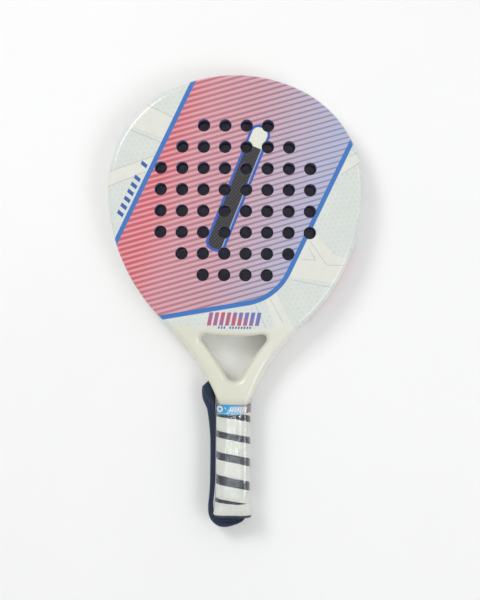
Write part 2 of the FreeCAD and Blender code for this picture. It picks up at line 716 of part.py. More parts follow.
def make_base_grip():
    """Cushioned sleeve on the handle; its top end is belled to pass over the neck."""
    body = new_body("base_grip")
    out = "dims.grip_thickness"
    loft_sections(body, "AdditiveLoft", "outside",
                  [("dims.grip_top_y", out), ("dims.flare_y", out),
                   ("dims.grip_end_y", f"{out} + dims.butt_flare")])
    loft_sections(body, "SubtractiveLoft", "mouth",
                  [("dims.grip_top_y", "dims.grip_mouth"), ("dims.grip_seat_y", "0")])
    pocket(body, handle_section(body, "bore_section", "dims.grip_seat_y", "0"),
           "dims.grip_seat_y - dims.grip_end_y", "bore", reverse=True)
    pocket(body, handle_section(body, "skirt_section", "dims.cap_skirt_y", "dims.cap_skirt"),
           "dims.cap_skirt_y - dims.grip_end_y", "skirt_space", reverse=True)
    return body


def make_sleeve(name, top, inside, thickness, end="dims.grip_end_y"):
    """Thin layer over the flared grip, from one height to the grip's end."""
    body = new_body(name)
    flare = "dims.butt_flare"
    for kind, label, out in (("AdditiveLoft", "outside", f"{inside} + {thickness}"),
                             ("SubtractiveLoft", "inside", inside)):
        loft_sections(body, kind, label,
                      [(top, out), ("dims.flare_y", out), (end, f"{out} + {flare}")])
    return body


def make_grip_band():
    """Printed tape over the grip's top end."""
    body = new_body("grip_band")
    length = "dims.grip_top_y - dims.band_end_y"
    out = "dims.grip_thickness"
    outside = handle_section(body, "outside", "dims.grip_top_y", f"{out} + dims.wrap_thickness")
    pad(body, outside, length)
    inside = handle_section(body, "inside", "dims.grip_top_y", out)
    pocket(body, inside, length, "bore", reverse=True)
    return body


def make_wrap_strip():
    """White strip wound over the grip: a sleeve, less a helical gap between the turns."""
    body = make_sleeve("wrap_strip", "dims.wrap_top_y", "dims.grip_thickness", "dims.wrap_thickness")
    drawing = Drawing(body, "XY_Plane", "gap_section", "dims.middle_z")
    near = "dims.handle_thickness / 2"
    far = "dims.tail_half_width * 2"
    low = "dims.wrap_gap_y - dims.wrap_pitch - dims.wrap_gap / 2"
    drawing.rectangle(near, low, far, f"{low} + dims.wrap_gap")
    gap = body.newObject("PartDesign::SubtractiveHelix", "gap")
    gap.Profile = drawing.sketch
    gap.ReferenceAxis = (drawing.sketch, ["V_Axis"])
    gap.Mode = 0
    gap.setExpression("Pitch", "dims.wrap_pitch")
    gap.setExpression("Height", "dims.wrap_top_y - dims.grip_end_y + 2 * dims.wrap_pitch")
    gap.LeftHanded = True
    doc.recompute()
    return body


def make_butt_cap():
    """Cup over the tube's ends: a skirt, a flanged end plate and a slot for the strap."""
    body = new_body("butt_cap")
    skirt = handle_section(body, "skirt_outside", "dims.cap_skirt_y", "dims.cap_skirt")
    pad(body, skirt, "dims.cap_skirt_y - dims.grip_end_y", "skirt")
    flange = handle_section(body, "flange_outside", "dims.grip_end_y", "dims.cap_flange")
    pad(body, flange, "dims.grip_end_y - dims.cap_end_y", "flange")
    doc.recompute()
    end_y = value("dims.cap_end_y")
    names = [f"Edge{number}" for number, edge in enumerate(body.Tip.Shape.Edges, start=1)
             if edge.BoundBox.YMax < end_y + 0.001]
    base = body.Tip
    rounding = body.newObject("PartDesign::Fillet", "round_end")
    rounding.Base = (base, names)
    rounding.setExpression("Radius", "dims.cap_round")
    bore = handle_section(body, "skirt_inside", "dims.cap_skirt_y", "0")
    pocket(body, bore, "dims.cap_skirt_y - dims.grip_end_y", "bore", reverse=True)
    drawing = Drawing(body, "XZ_Plane", "slot_outline", "-dims.grip_end_y")
    half_x = "(dims.strap_thickness / 2 + dims.slot_play)"
    half_z = "(dims.strap_width / 2 + dims.slot_play)"
    drawing.rectangle(f"dims.slot_x - {half_x}", f"dims.middle_z - {half_z}",
                      f"dims.slot_x + {half_x}", f"dims.middle_z + {half_z}")
    pocket(body, drawing, "dims.grip_end_y - dims.cap_end_y", "slot", reverse=True)
    return body


def make_strap_stop():
    """The strap's sewn ends, too thick for the slot."""
    body = new_body("strap_stop")
    low = "dims.middle_z - dims.stop_size / 2"
    drawing = Drawing(body, "XY_Plane", "stop_outline", low)
    top = "dims.grip_end_y + dims.stop_length"
    drawing.rectangle("dims.tail_half_width - dims.stop_size", "dims.grip_end_y",
                      "dims.tail_half_width", top)
    pad(body, drawing, "dims.stop_size")
    return body


def make_strap_leg():
    """The fixed stretch of webbing: out of the cap's slot, under the butt and up to the hinge."""
    body = new_body("strap_leg")
    corners = [("dims.slot_x", "dims.grip_end_y"), ("dims.slot_x", "dims.exit_y"),
               ("dims.low_x", "dims.low_y"), ("dims.hinge_x", "dims.hinge_y")]
    points = [Vector(value(x), value(y), 0) for x, y in corners]
    path = Drawing(body, "XY_Plane", "leg_path", "dims.middle_z")
    ends = [points[0]]
    bends = []
    for before, corner, after, name in zip(points, points[1:], points[2:], ("exit_bend", "low_bend")):
        back, on = (before - corner).normalize(), (after - corner).normalize()
        half_angle = back.getAngle(on) / 2
        size = value(f"dims.{name}")
        reach = size / math.tan(half_angle)
        centre = corner + (back + on).normalize() * (size / math.sin(half_angle))
        first, last = corner + back * reach, corner + on * reach
        bends.append((centre, size, angle_of(last - centre), angle_of(first - centre), name))
        ends += [first, last]
    ends.append(points[-1])
    lines = [path.line(ends[n][:2], ends[n + 1][:2]) for n in range(0, len(ends), 2)]
    for number, (centre, size, first, last, name) in enumerate(bends):
        bend = path.arc(centre[:2], size, first, last)
        path.rule("Tangent", lines[number], 2, bend, 2)
        path.rule("Tangent", bend, 1, lines[number + 1], 1)
        path.size("Radius", bend, f"dims.{name}")
        corner = path.sketch.addGeometry(Part.Point(points[number + 1]), True)
        path.rule("PointOnObject", corner, 1, lines[number])
        path.rule("PointOnObject", corner, 1, lines[number + 1])
        path.size("DistanceY", -1, 1, corner, 1, corners[number + 1][1])
        if number:
            path.size("DistanceX", -1, 1, corner, 1, corners[number + 1][0])
    path.place(lines[0], 1, *corners[0])
    path.place(lines[-1], 2, *corners[-1])
    path.rule("Vertical", lines[0])

    section = Drawing(body, "XZ_Plane", "leg_section", "-dims.grip_end_y")
    section.rectangle("dims.slot_x - dims.strap_thickness / 2", "dims.middle_z - dims.strap_width / 2",
                      "dims.slot_x + dims.strap_thickness / 2", "dims.middle_z + dims.strap_width / 2")
    doc.recompute()
    sweep = new_feature(body, "AdditivePipe", section, "webbing")
    sweep.Spine = (path.sketch, [])
    doc.recompute()
    room = Drawing(body, "XY_Plane", "hinge_room", "dims.middle_z")
    ring = room.circle((points[-1].x, points[-1].y), value("dims.strap_thickness / 2 + dims.hinge_play"))
    room.place(ring, 3, *corners[-1])
    room.size("Radius", ring, "dims.strap_thickness / 2 + dims.hinge_play")
    pocket_through(body, room, "clear_hinge")
    return body


def make_strap_loop():
    """The moving stretch of webbing, from the hinge up beside the handle to its folded end."""
    body = new_body("strap_loop")
    low = "dims.middle_z - dims.strap_width / 2"
    half = "dims.strap_thickness / 2"
    outline = Drawing(body, "XY_Plane", "loop_outline", low)
    inner, outer = "dims.strap_side_x", "dims.strap_side_x - dims.strap_thickness"
    reach, end = "dims.strap_reach_x", "dims.strap_end_y"
    outline.polygon([
        (f"dims.hinge_x + {half}", "dims.hinge_y"),
        (f"dims.hinge_x + {half}", "dims.grip_end_y"),
        (inner, "dims.flare_y"),
        (inner, "dims.strap_lean_y"),
        (f"{reach} + dims.strap_end_width", f"{end} - dims.strap_end_width * 1.1"),
        (f"{reach} + dims.strap_end_width * 0.6", end),
        (reach, f"{end} - dims.strap_end_width"),
        (reach, f"{end} - dims.strap_end_straight"),
        (outer, "dims.strap_mid_y"),
        (outer, "dims.flare_y"),
        (f"dims.hinge_x - {half}", "dims.grip_end_y"),
        (f"dims.hinge_x - {half}", "dims.hinge_y"),
    ])
    pad(body, outline, "dims.strap_width")
    knuckle = Drawing(body, "XY_Plane", "knuckle_outline", low)
    ring = knuckle.circle((value("dims.hinge_x"), value("dims.hinge_y")), value(half))
    knuckle.place(ring, 3, "dims.hinge_x", "dims.hinge_y")
    knuckle.size("Radius", ring, half)
    pad(body, knuckle, "dims.strap_width", "knuckle")
    doc.recompute()
    base = body.Tip
    high_y = value(f"{end} - dims.strap_end_width * 1.05")
    names = [f"Edge{number}" for number, edge in enumerate(base.Shape.Edges, start=1)
             if edge.BoundBox.XLength < 0.001 and edge.BoundBox.YLength < 0.001
             and edge.BoundBox.YMin > high_y]
    feature = body.newObject("PartDesign::Fillet", "round_end")
    feature.Base = (base, names)
    feature.setExpression("Radius", "dims.strap_end_round")
    return body


def is_sound(part):
    """True when the part's shape is one that can be written."""
    return not part.Shape.isNull() and part.Shape.isValid() and part.Shape.Volume > 0


def main():
    fill_sheet()
    parts = [
        make_frame_tube(),
        make_throat_bridge(),
        make_foam_core(),
        make_face("front_face", "dims.head_thickness - dims.face_thickness"),
        make_face("back_face", "0"),
        make_handle_core(),
        make_base_grip(),
        make_grip_band(),
        make_wrap_strip(),
        make_sleeve("shrink_film", "dims.film_top_y", "dims.grip_thickness + dims.wrap_thickness",
                    "dims.film_thickness"),
        make_butt_cap(),
        make_strap_stop(),
        make_strap_leg(),
        make_strap_loop(),
    ]
    doc.recompute()
    failed = [item.Name for item in doc.Objects if "Invalid" in item.State or "Error" in item.State]
    failed += [part.Label for part in parts if not is_sound(part)]
    for part in parts:
        box = part.Shape.optimalBoundingBox(False)
        print(part.Label, len(part.Shape.Solids), "solids", round(part.Shape.Volume / 1000, 2), "cm3",
              "x", round(box.XMin, 2), round(box.XMax, 2), "y", round(box.YMin, 2), round(box.YMax, 2),
              "z", round(box.ZMin, 2), round(box.ZMax, 2))
    if failed:
        raise RuntimeError(f"failed objects: {failed}")
    os.makedirs("parts", exist_ok=True)
    for part in parts:
        part.Shape.exportStep(f"parts/{part.Label}.step")


main()
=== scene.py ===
"""Padel racket lying on its back face, seen from straight above.

The CAD frame gives every place; lengths here are metres. X runs to the right, Y towards the head's tip
and Z up out of the front face. The head, the throat and the handle are mirror images about X = 0.
"""

import functools
import math

import bmesh
import bpy
import numpy as np
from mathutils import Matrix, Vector, noise
from mathutils.geometry import delaunay_2d_cdt


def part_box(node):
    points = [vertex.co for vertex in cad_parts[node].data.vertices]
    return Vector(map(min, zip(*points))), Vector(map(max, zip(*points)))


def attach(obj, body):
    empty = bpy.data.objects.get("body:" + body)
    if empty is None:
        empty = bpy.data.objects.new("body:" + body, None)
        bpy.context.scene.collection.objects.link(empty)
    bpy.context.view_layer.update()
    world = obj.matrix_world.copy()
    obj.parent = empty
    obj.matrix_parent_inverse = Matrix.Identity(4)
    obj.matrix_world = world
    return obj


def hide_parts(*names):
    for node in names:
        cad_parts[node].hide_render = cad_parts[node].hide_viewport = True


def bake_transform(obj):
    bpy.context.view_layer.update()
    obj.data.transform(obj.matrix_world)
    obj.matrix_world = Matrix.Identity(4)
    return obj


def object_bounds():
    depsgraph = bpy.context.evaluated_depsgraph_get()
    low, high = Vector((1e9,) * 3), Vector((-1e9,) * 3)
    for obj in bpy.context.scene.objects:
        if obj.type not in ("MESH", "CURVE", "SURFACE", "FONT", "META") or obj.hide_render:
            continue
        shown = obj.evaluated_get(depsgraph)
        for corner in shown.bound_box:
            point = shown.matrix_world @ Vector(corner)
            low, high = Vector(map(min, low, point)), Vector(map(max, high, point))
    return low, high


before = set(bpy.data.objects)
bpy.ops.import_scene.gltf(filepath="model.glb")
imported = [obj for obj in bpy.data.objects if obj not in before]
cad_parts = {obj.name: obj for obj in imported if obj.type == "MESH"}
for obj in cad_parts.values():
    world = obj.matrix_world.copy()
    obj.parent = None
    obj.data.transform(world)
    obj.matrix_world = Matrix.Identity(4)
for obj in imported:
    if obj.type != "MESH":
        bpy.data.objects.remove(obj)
cad_low, cad_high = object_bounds()

MM = 0.001
TIP_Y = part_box("frame_tube")[1][1]
TAIL_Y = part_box("frame_tube")[0][1]
HEAD_HALF_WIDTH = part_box("frame_tube")[1][0]
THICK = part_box("frame_tube")[1][2]
MIDDLE = THICK / 2
RIDGE_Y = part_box("front_face")[0][1]
SHEET_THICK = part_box("back_face")[1][2]
GRIP_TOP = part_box("base_grip")[1][1]
GRIP_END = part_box("base_grip")[0][1]
FILM_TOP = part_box("shrink_film")[1][1]
CAP_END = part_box("butt_cap")[0][1]
TAIL_HALF_WIDTH = 14.5 * MM
TAIL_HALF_THICK = 13 * MM
TAIL_ROUND = 5 * MM


# ---- outlines, as tangent arcs

class Arc:
    """A stretch of an outline. side is 1 where the outline bulges and -1 where it is hollow."""

    def __init__(self, centre, radius, first, last, side=1):
        self.centre = centre
        self.radius = radius
        self.first = first
        self.last = last
        self.side = side

    def samples(self, step):
        """Points with their outward normals, from the first angle to just before the last."""
        count = max(2, math.ceil(abs(self.last - self.first) * self.radius / step))
        found = []
        for number in range(count):
            angle = self.first + (self.last - self.first) * number / count
            normal = Vector((math.cos(angle), math.sin(angle)))
            found.append((self.centre + normal * self.radius, normal * self.side))
        return found


def angle_of(vector):
    return math.atan2(vector.y, vector.x)


def circle_between(first_at, first_reach, second_at, second_reach):
    """The point at the two given distances from two others, to the right of the way between them."""
    gap = second_at - first_at
    along = (first_reach ** 2 - second_reach ** 2 + gap.length_squared) / (2 * gap.length)
    across = math.sqrt(first_reach ** 2 - along ** 2)
    unit = gap.normalized()
    return first_at + unit * along + Vector((unit.y, -unit.x)) * across


WIDEST_Y = 113.5 * MM
SHOULDER = 112.4 * MM
CHEEK = 185.7 * MM
CHEEK_TURN = math.radians(46.4)
THROAT = 240.4 * MM
NECK = 25 * MM
INSET = 5 * MM
RIDGE = 225 * MM
RIDGE_CORNER = 45 * MM
ARM_WIDTH = 20.8 * MM
OPENING_TOP_Y = -36.4 * MM
OPENING_SAG = 150 * MM
OPENING_CORNER = 5 * MM
OPENING_TOE = 9 * MM
TUBE_WIDTH = 15 * MM
FOAM_BOTTOM_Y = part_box("foam_core")[0][1]
OUTLINE_STEP = 2.4 * MM
OPENING_STEP = 1.6 * MM
WELD = 1e-6

shoulder_at = Vector((HEAD_HALF_WIDTH - SHOULDER, WIDEST_Y))
cheek_at = Vector((HEAD_HALF_WIDTH - CHEEK, WIDEST_Y))
crown_rise = TIP_Y - WIDEST_Y
CROWN = (shoulder_at.x ** 2 + crown_rise ** 2 - SHOULDER ** 2) / (2 * (crown_rise - SHOULDER))
crown_at = Vector((0, TIP_Y - CROWN))
crown_join = angle_of(shoulder_at - crown_at)
throat_at = cheek_at + Vector((math.cos(CHEEK_TURN), -math.sin(CHEEK_TURN))) * (CHEEK + THROAT)
neck_x = TAIL_HALF_WIDTH + NECK
neck_at = Vector((neck_x, throat_at.y + math.sqrt((THROAT - NECK) ** 2 - (throat_at.x - neck_x) ** 2)))
neck_join = angle_of(neck_at - throat_at)
ridge_at = Vector((0, RIDGE_Y + RIDGE))
corner_at = circle_between(cheek_at, CHEEK - INSET - RIDGE_CORNER, ridge_at, RIDGE - RIDGE_CORNER)
cheek_end = angle_of(corner_at - cheek_at)
ridge_end = angle_of(corner_at - ridge_at)


def outline_samples():
    """Right half of the outline, tip to tail, with normals, and how many samples lie beside the sheet."""
    step = OUTLINE_STEP
    head = [Arc(crown_at, CROWN, math.pi / 2, crown_join),
            Arc(shoulder_at, SHOULDER, crown_join, 0),
            Arc(cheek_at, CHEEK, 0, cheek_end)]
    rest = [Arc(cheek_at, CHEEK, cheek_end, -CHEEK_TURN),
            Arc(throat_at, THROAT, math.pi - CHEEK_TURN, neck_join, -1),
            Arc(neck_at, NECK, neck_join, math.pi, -1)]
    found = [sample for arc in head for sample in arc.samples(step)]
    beside_sheet = len(found)
    found += [sample for arc in rest for sample in arc.samples(step)]
    side_top, outward = neck_at.y, Vector((1, 0))
    count = math.ceil((side_top - TAIL_Y) / (3 * step))
    for number in range(count + 1):
        y = side_top + (TAIL_Y - side_top) * number / count
        found.append((Vector((TAIL_HALF_WIDTH, y)), outward))
    return found, beside_sheet


def ridge_samples():
    """Lower edge of the sheet from the right cheek to X = 0, with normals out of the sheet."""
    found = Arc(corner_at, RIDGE_CORNER, cheek_end, ridge_end).samples(OUTLINE_STEP)
    found += Arc(ridge_at, RIDGE, ridge_end, -math.pi / 2).samples(OUTLINE_STEP)
    return found + [(Vector((0, RIDGE_Y)), Vector((0, -1)))]


def opening_samples():
    """Right half of the throat opening, from its top edge's middle to its toe, normals into the arm."""
    side_at = throat_at - Vector((ARM_WIDTH, 0))
    sag_at = Vector((0, OPENING_TOP_Y + OPENING_SAG))
    bend_at = circle_between(sag_at, OPENING_SAG + OPENING_CORNER, side_at, THROAT + OPENING_CORNER)
    toe_at = Vector((0, side_at.y + math.sqrt((THROAT + OPENING_TOE) ** 2 - side_at.x ** 2)))
    arcs = [Arc(sag_at, OPENING_SAG, -math.pi / 2, angle_of(bend_at - sag_at), -1),
            Arc(bend_at, OPENING_CORNER, angle_of(sag_at - bend_at), angle_of(side_at - bend_at)),
            Arc(side_at, THROAT, angle_of(bend_at - side_at), angle_of(toe_at - side_at), -1),
            Arc(toe_at, OPENING_TOE, angle_of(side_at - toe_at), -math.pi / 2)]
    steps = [OPENING_STEP, OPENING_STEP / 2] * 2
    found = [sample for arc, step in zip(arcs, steps) for sample in arc.samples(step)]
    return found + [(toe_at - Vector((0, OPENING_TOE)), Vector((0, -1)))]


def mirrored(samples):
    return [(Vector((-point.x, point.y)), Vector((-normal.x, normal.y))) for point, normal in samples]


def whole_loop(half):
    """A closed loop from a right half whose first and last samples lie on X = 0."""
    return half + mirrored(half[-2:0:-1])


# ---- surface heights

CREST = 20 * MM
CREST_TURN = math.radians(14)
THROAT_FALL = MIDDLE - TAIL_HALF_THICK
DIP = THROAT_FALL / (1 - math.cos(CREST_TURN)) - CREST
SLOPE_RUN = (CREST + DIP) * math.sin(CREST_TURN)
SKIN = 0.1 * MM


def beyond_sheet(x, y):
    """Distance from a point outside the face sheet to its edge; negative inside."""
    point = Vector((abs(x), y))
    if angle_of(point - ridge_at) < ridge_end:
        return (point - ridge_at).length - RIDGE
    if angle_of(point - corner_at) < cheek_end:
        return (point - corner_at).length - RIDGE_CORNER
    return (point - cheek_at).length - (CHEEK - INSET)


def half_thickness(x, y):
    """The racket's half thickness at a point, before its edges are rounded."""
    if y > WIDEST_Y:
        return MIDDLE
    away = beyond_sheet(x, y)
    if away <= 0:
        return MIDDLE
    if away < CREST * math.sin(CREST_TURN):
        return MIDDLE - (CREST - math.sqrt(CREST ** 2 - away ** 2))
    if away < SLOPE_RUN:
        fall = THROAT_FALL - (DIP - math.sqrt(DIP ** 2 - (SLOPE_RUN - away) ** 2))
        return MIDDLE - fall + SKIN * away / SLOPE_RUN
    return TAIL_HALF_THICK + SKIN


def smooth_step(low, high, value):
    share = min(1, max(0, (value - low) / (high - low)))
    return share * share * (3 - 2 * share)


def bump(low, peak, high, value):
    """0 at both ends and 1 at the peak."""
    return smooth_step(low, peak, value) - smooth_step(peak, high, value)


# ---- meshes

def add_points(mesh, points):
    return [mesh.verts.new(point) for point in points]


def add_face(mesh, corners):
    """A face, unless two of its corners are one."""
    if len(set(corners)) == len(corners) and mesh.faces.get(corners) is None:
        mesh.faces.new(corners)


def bridge_rows(mesh, rows, closed):
    """Quads between neighbouring rows of vertices; closed rows join up at their ends."""
    for row, following in zip(rows, rows[1:]):
        count = len(row) if closed else len(row) - 1
        for number in range(count):
            after = (number + 1) % len(row)
            add_face(mesh, (row[number], row[after], following[after], following[number]))


def loft(mesh, rows, closed=True):
    """Rows of points joined by quads; gives back the rows of vertices."""
    placed = [add_points(mesh, row) for row in rows]
    bridge_rows(mesh, placed, closed)
    return placed


def flat_array(points):
    return np.array([point[:2] for point in points])


def inside(polygon, point):
    """True if a point lies inside a polygon given as an array."""
    x, y = point
    ends = np.roll(polygon, -1, axis=0)
    crosses = (polygon[:, 1] > y) != (ends[:, 1] > y)
    starts, ends = polygon[crosses], ends[crosses]
    share = (y - starts[:, 1]) / (ends[:, 1] - starts[:, 1])
    return bool(np.sum(x < starts[:, 0] + share * (ends[:, 0] - starts[:, 0])) % 2)


def triangulate(outer, holes, extra=()):
    """Triangles over the region between an outer loop and its holes, as indices into all the points."""
    points = list(outer)
    edges = [(n, (n + 1) % len(outer)) for n in range(len(outer))]
    for hole in holes:
        start = len(points)
        points += hole
        edges += [(start + n, start + (n + 1) % len(hole)) for n in range(len(hole))]
    points += extra
    flat = [Vector(point[:2]) for point in points]
    made, _, faces, origin, _, _ = delaunay_2d_cdt(flat, edges, [], 0, 1e-9)
    border = flat_array(outer)
    gaps = [flat_array(hole) for hole in holes]
    boxes = [(gap.min(axis=0), gap.max(axis=0)) for gap in gaps]
    kept = []
    for face in faces:
        middle = sum((made[n] for n in face), Vector((0, 0))) / 3
        if not inside(border, middle):
            continue
        near = [gap for gap, (low, high) in zip(gaps, boxes)
                if low[0] < middle.x < high[0] and low[1] < middle.y < high[1]]
        if any(inside(gap, middle) for gap in near):
            continue
        kept.append([origin[n][0] for n in face])
    return kept


def add_triangles(mesh, triangles, points):
    placed = add_points(mesh, points)
    for triangle in triangles:
        add_face(mesh, [placed[n] for n in triangle])


def finish_mesh(mesh, name, material, sharp=40):
    """Weld, make the normals agree, and turn a bmesh into a smooth-shaded object."""
    bmesh.ops.remove_doubles(mesh, verts=mesh.verts, dist=WELD)
    bmesh.ops.recalc_face_normals(mesh, faces=mesh.faces)
    data = bpy.data.meshes.new(name)
    mesh.to_mesh(data)
    mesh.free()
    data.materials.append(material)
    data.shade_smooth()
    data.set_sharp_from_angle(angle=math.radians(sharp))
    made = bpy.data.objects.new(name, data)
    weighted = made.modifiers.new("flat_stays_flat", "WEIGHTED_NORMAL")
    weighted.keep_sharp = True
    bpy.context.scene.collection.objects.link(made)
    return made


def at(point, z):
    return (point.x, point.y, z)


RIM_GAP = 0.2 * MM
RIM = INSET - RIM_GAP
RIM_STEPS = 7
ARM_ROUND = 3 * MM
OPENING_ROUND = 7 * MM
OPENING_FLAT = 0.5 * MM
SEAM_DEPTH = 0.12 * MM
GRID = 3 * MM
GRID_TOP_Y = RIDGE_Y + 30 * MM
GRID_LOW_Y = TAIL_Y / 1.6
GRID_ROWS = 70
GRID_REACH = 26


def rim_radius(point):
    """Rounding of the outer edge: wider on the arms than round the head and on the handle."""
    return RIM + ARM_ROUND * bump(-110 * MM, -62 * MM, -24 * MM, point.y)


def rounded_rows(samples, radius_of, sign):
    """Rows round an edge from its flat inner border to the upright wall, on the front or the back."""
    rows = []
    for number in range(RIM_STEPS + 1):
        turn = math.pi / 2 * number / RIM_STEPS
        row = []
        for point, normal in samples:
            radius = radius_of(point)
            place = point - normal * (radius * (1 - math.sin(turn)))
            reach = half_thickness(place.x, place.y) - radius * (1 - math.cos(turn))
            row.append(at(place, MIDDLE + sign * reach))
        rows.append(row)
    return rows


def opening_radius(point):
    """Rounding of the opening's edge: up to the sheet along its top, wider down its sides."""
    return min(OPENING_ROUND, beyond_sheet(*point) - OPENING_FLAT)


def fill_throat(mesh, outer, hole):
    """The throat's front and back, between the sheet's lower edge, the rounded rims and the opening."""
    border, gap = flat_array(outer), flat_array(hole)
    edge = np.vstack([border, gap])
    extra = []
    for row in range(GRID_ROWS):
        y = GRID_TOP_Y - row * GRID
        for column in range(-GRID_REACH, GRID_REACH + 1):
            place = ((column + row % 2 / 2) * GRID, y)
            clear = np.hypot(edge[:, 0] - place[0], edge[:, 1] - place[1]).min() > GRID / 2
            if y > GRID_LOW_Y and clear and inside(border, place) and not inside(gap, place):
                extra.append(place)
    triangles = triangulate(outer, [hole], extra)
    for sign in (1, -1):
        add_triangles(mesh, triangles, [(x, y, MIDDLE + sign * half_thickness(x, y))
                                        for x, y, *_ in outer + hole + extra])


def build_frame_shell(material):
    """The painted hoop, throat and neck as one moulded skin, with seats for the face sheets."""
    mesh = bmesh.new()
    half, beside_sheet = outline_samples()
    path = mirrored(half[:0:-1]) + half
    ridge = ridge_samples()
    into_opening = [(point, -normal) for point, normal in whole_loop(opening_samples())]
    rims, ways = [], []
    for sign in (1, -1):
        rims.append(rounded_rows(path, rim_radius, sign))
        ways.append(rounded_rows(into_opening, opening_radius, sign))
    loft(mesh, rims[0] + rims[1][::-1], closed=False)
    loft(mesh, ways[0] + ways[1][::-1])

    seam = [at(point + normal * RIM_GAP, 0) for point, normal in mirrored(ridge) + ridge[-2::-1]]
    below = len(path) - len(half) + beside_sheet
    above = len(half) - 1 - beside_sheet
    inner = rims[0][0]
    fill_throat(mesh, seam + inner[below + 1:] + inner[:above], ways[0][0])

    # the edge that the sheet lies against, its seat, and the hoop's inner wall
    beside = half[:beside_sheet]
    loop = whole_loop([(point - normal * INSET, normal) for point, normal in beside] + ridge)
    foam = foam_loop([point - normal * TUBE_WIDTH for point, normal in beside])
    walls = []
    for sign in (1, -1):
        loft(mesh, [[at(point + normal * out, MIDDLE + sign * (MIDDLE - drop)) for point, normal in loop]
                    for out, drop in ((RIM_GAP, 0), (0, SEAM_DEPTH), (0, SHEET_THICK))])
        seat_z = MIDDLE + sign * (MIDDLE - SHEET_THICK)
        seat, wall = [at(point, seat_z) for point, _ in loop], [at(point, seat_z) for point in foam]
        add_triangles(mesh, triangulate(seat, [wall]), seat + wall)
        walls.append(add_points(mesh, wall))
    bridge_rows(mesh, walls, closed=True)

    # the lower end of the bare handle, welded first so that its edge is one loop
    bmesh.ops.remove_doubles(mesh, verts=mesh.verts, dist=WELD)
    tail = TAIL_Y + 0.01 * MM
    open_edges = [e for e in mesh.edges if e.is_boundary and max(v.co.y for v in e.verts) < tail]
    bmesh.ops.edgeloop_fill(mesh, edges=open_edges)
    return finish_mesh(mesh, "frame_shell", material, sharp=35)


def foam_loop(points):
    """The hoop's inner wall as a closed loop, cut off straight above the throat."""
    right = [point for point in points if point.y > FOAM_BOTTOM_Y + 1 * MM]
    right.append(Vector((right[-1].x - 1 * MM, FOAM_BOTTOM_Y)))
    left = [Vector((-point.x, point.y)) for point in right[:0:-1]]
    return right + left


HOLE_RADIUS = 6.25 * MM
HOLE_PITCH = 21.7 * MM
HOLE_TOP_Y = 178.2 * MM
HOLE_ROWS = [4, 6, 8, 8, 8, 8, 6, 4]
HOLE_SIDES = 40
HOLE_ROUND = 0.55 * MM
HOLE_STEPS = 4
SHEET_EDGE = 0.25 * MM


def hole_centres():
    for row, count in enumerate(HOLE_ROWS):
        for place in range(count):
            yield Vector(((place - (count - 1) / 2) * HOLE_PITCH, HOLE_TOP_Y - row * HOLE_PITCH))


def ring(centre, radius):
    turns = [math.tau * n / HOLE_SIDES for n in range(HOLE_SIDES)]
    return [centre + Vector((math.cos(turn), math.sin(turn))) * radius for turn in turns]


def build_sheet(name, sign, material):
    """One printed face: a plate with softened edges round its outline and round each hole."""
    mesh = bmesh.new()
    half, beside_sheet = outline_samples()
    edge_half = [(point - normal * INSET, normal) for point, normal in half[:beside_sheet]]
    loop = whole_loop(edge_half + ridge_samples())

    def height(drop):
        return MIDDLE + sign * (MIDDLE - drop)

    rows = [[at(point - normal * inwards, height(drop)) for point, normal in loop]
            for inwards, drop in ((SHEET_EDGE, 0), (0, SEAM_DEPTH), (0, SHEET_THICK))]
    loft(mesh, rows)
    tops, bottoms = [], []
    for centre in hole_centres():
        levels = []
        for number in range(HOLE_STEPS + 1):
            turn = math.pi / 2 * number / HOLE_STEPS
            radius = HOLE_RADIUS + HOLE_ROUND * (1 - math.sin(turn))
            drop = HOLE_ROUND * (1 - math.cos(turn))
            levels.append([at(point, height(drop)) for point in ring(centre, radius)])
        levels.append([at(point, height(SHEET_THICK)) for point in ring(centre, HOLE_RADIUS)])
        loft(mesh, levels)
        tops.append(levels[0])
        bottoms.append(levels[-1])
    for outer, holes, drop in ((rows[0], tops, 0), (rows[-1], bottoms, SHEET_THICK)):
        add_triangles(mesh, triangulate(outer, holes),
                      [(x, y, height(drop)) for x, y, _ in outer + sum(holes, [])])
    return finish_mesh(mesh, name, material, sharp=50)


# ---- handle layers

FLARE_Y = -200 * MM
BUTT_FLARE = 2 * MM
GRIP_OUT = 2.5 * MM
CLEAR = 0.01 * MM
BAND_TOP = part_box("grip_band")[1][1]
BAND_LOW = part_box("grip_band")[0][1]


def flare(y):
    return BUTT_FLARE * min(1, max(0, (FLARE_Y - y) / (FLARE_Y - GRIP_END)))


def handle_point(turn, y, out):
    """A point on the handle's rounded section, turn times round from the front's middle to the right."""
    grown = out + flare(y)
    wide = TAIL_HALF_WIDTH + grown
    tall = TAIL_HALF_THICK + grown
    bend = TAIL_ROUND + grown
    flat_x, flat_z, quarter = wide - bend, tall - bend, bend * math.pi / 2
    around = 4 * (flat_x + flat_z + quarter)
    way = turn % 1 * around
    for flip in (1, -1):
        for length, kind in ((flat_x, "flat"), (quarter, "bend"), (2 * flat_z, "side"), (quarter, "turn"),
                             (flat_x, "under")):
            if way <= length or (flip == -1 and kind == "under"):
                angle = way / bend
                x, z = {"flat": (way, tall),
                        "bend": (flat_x + bend * math.sin(angle), flat_z + bend * math.cos(angle)),
                        "side": (wide, flat_z - way),
                        "turn": (flat_x + bend * math.cos(angle), -flat_z - bend * math.sin(angle)),
                        "under": (flat_x - way, -tall)}[kind]
                return (flip * x, y, MIDDLE + flip * z)
            way -= length


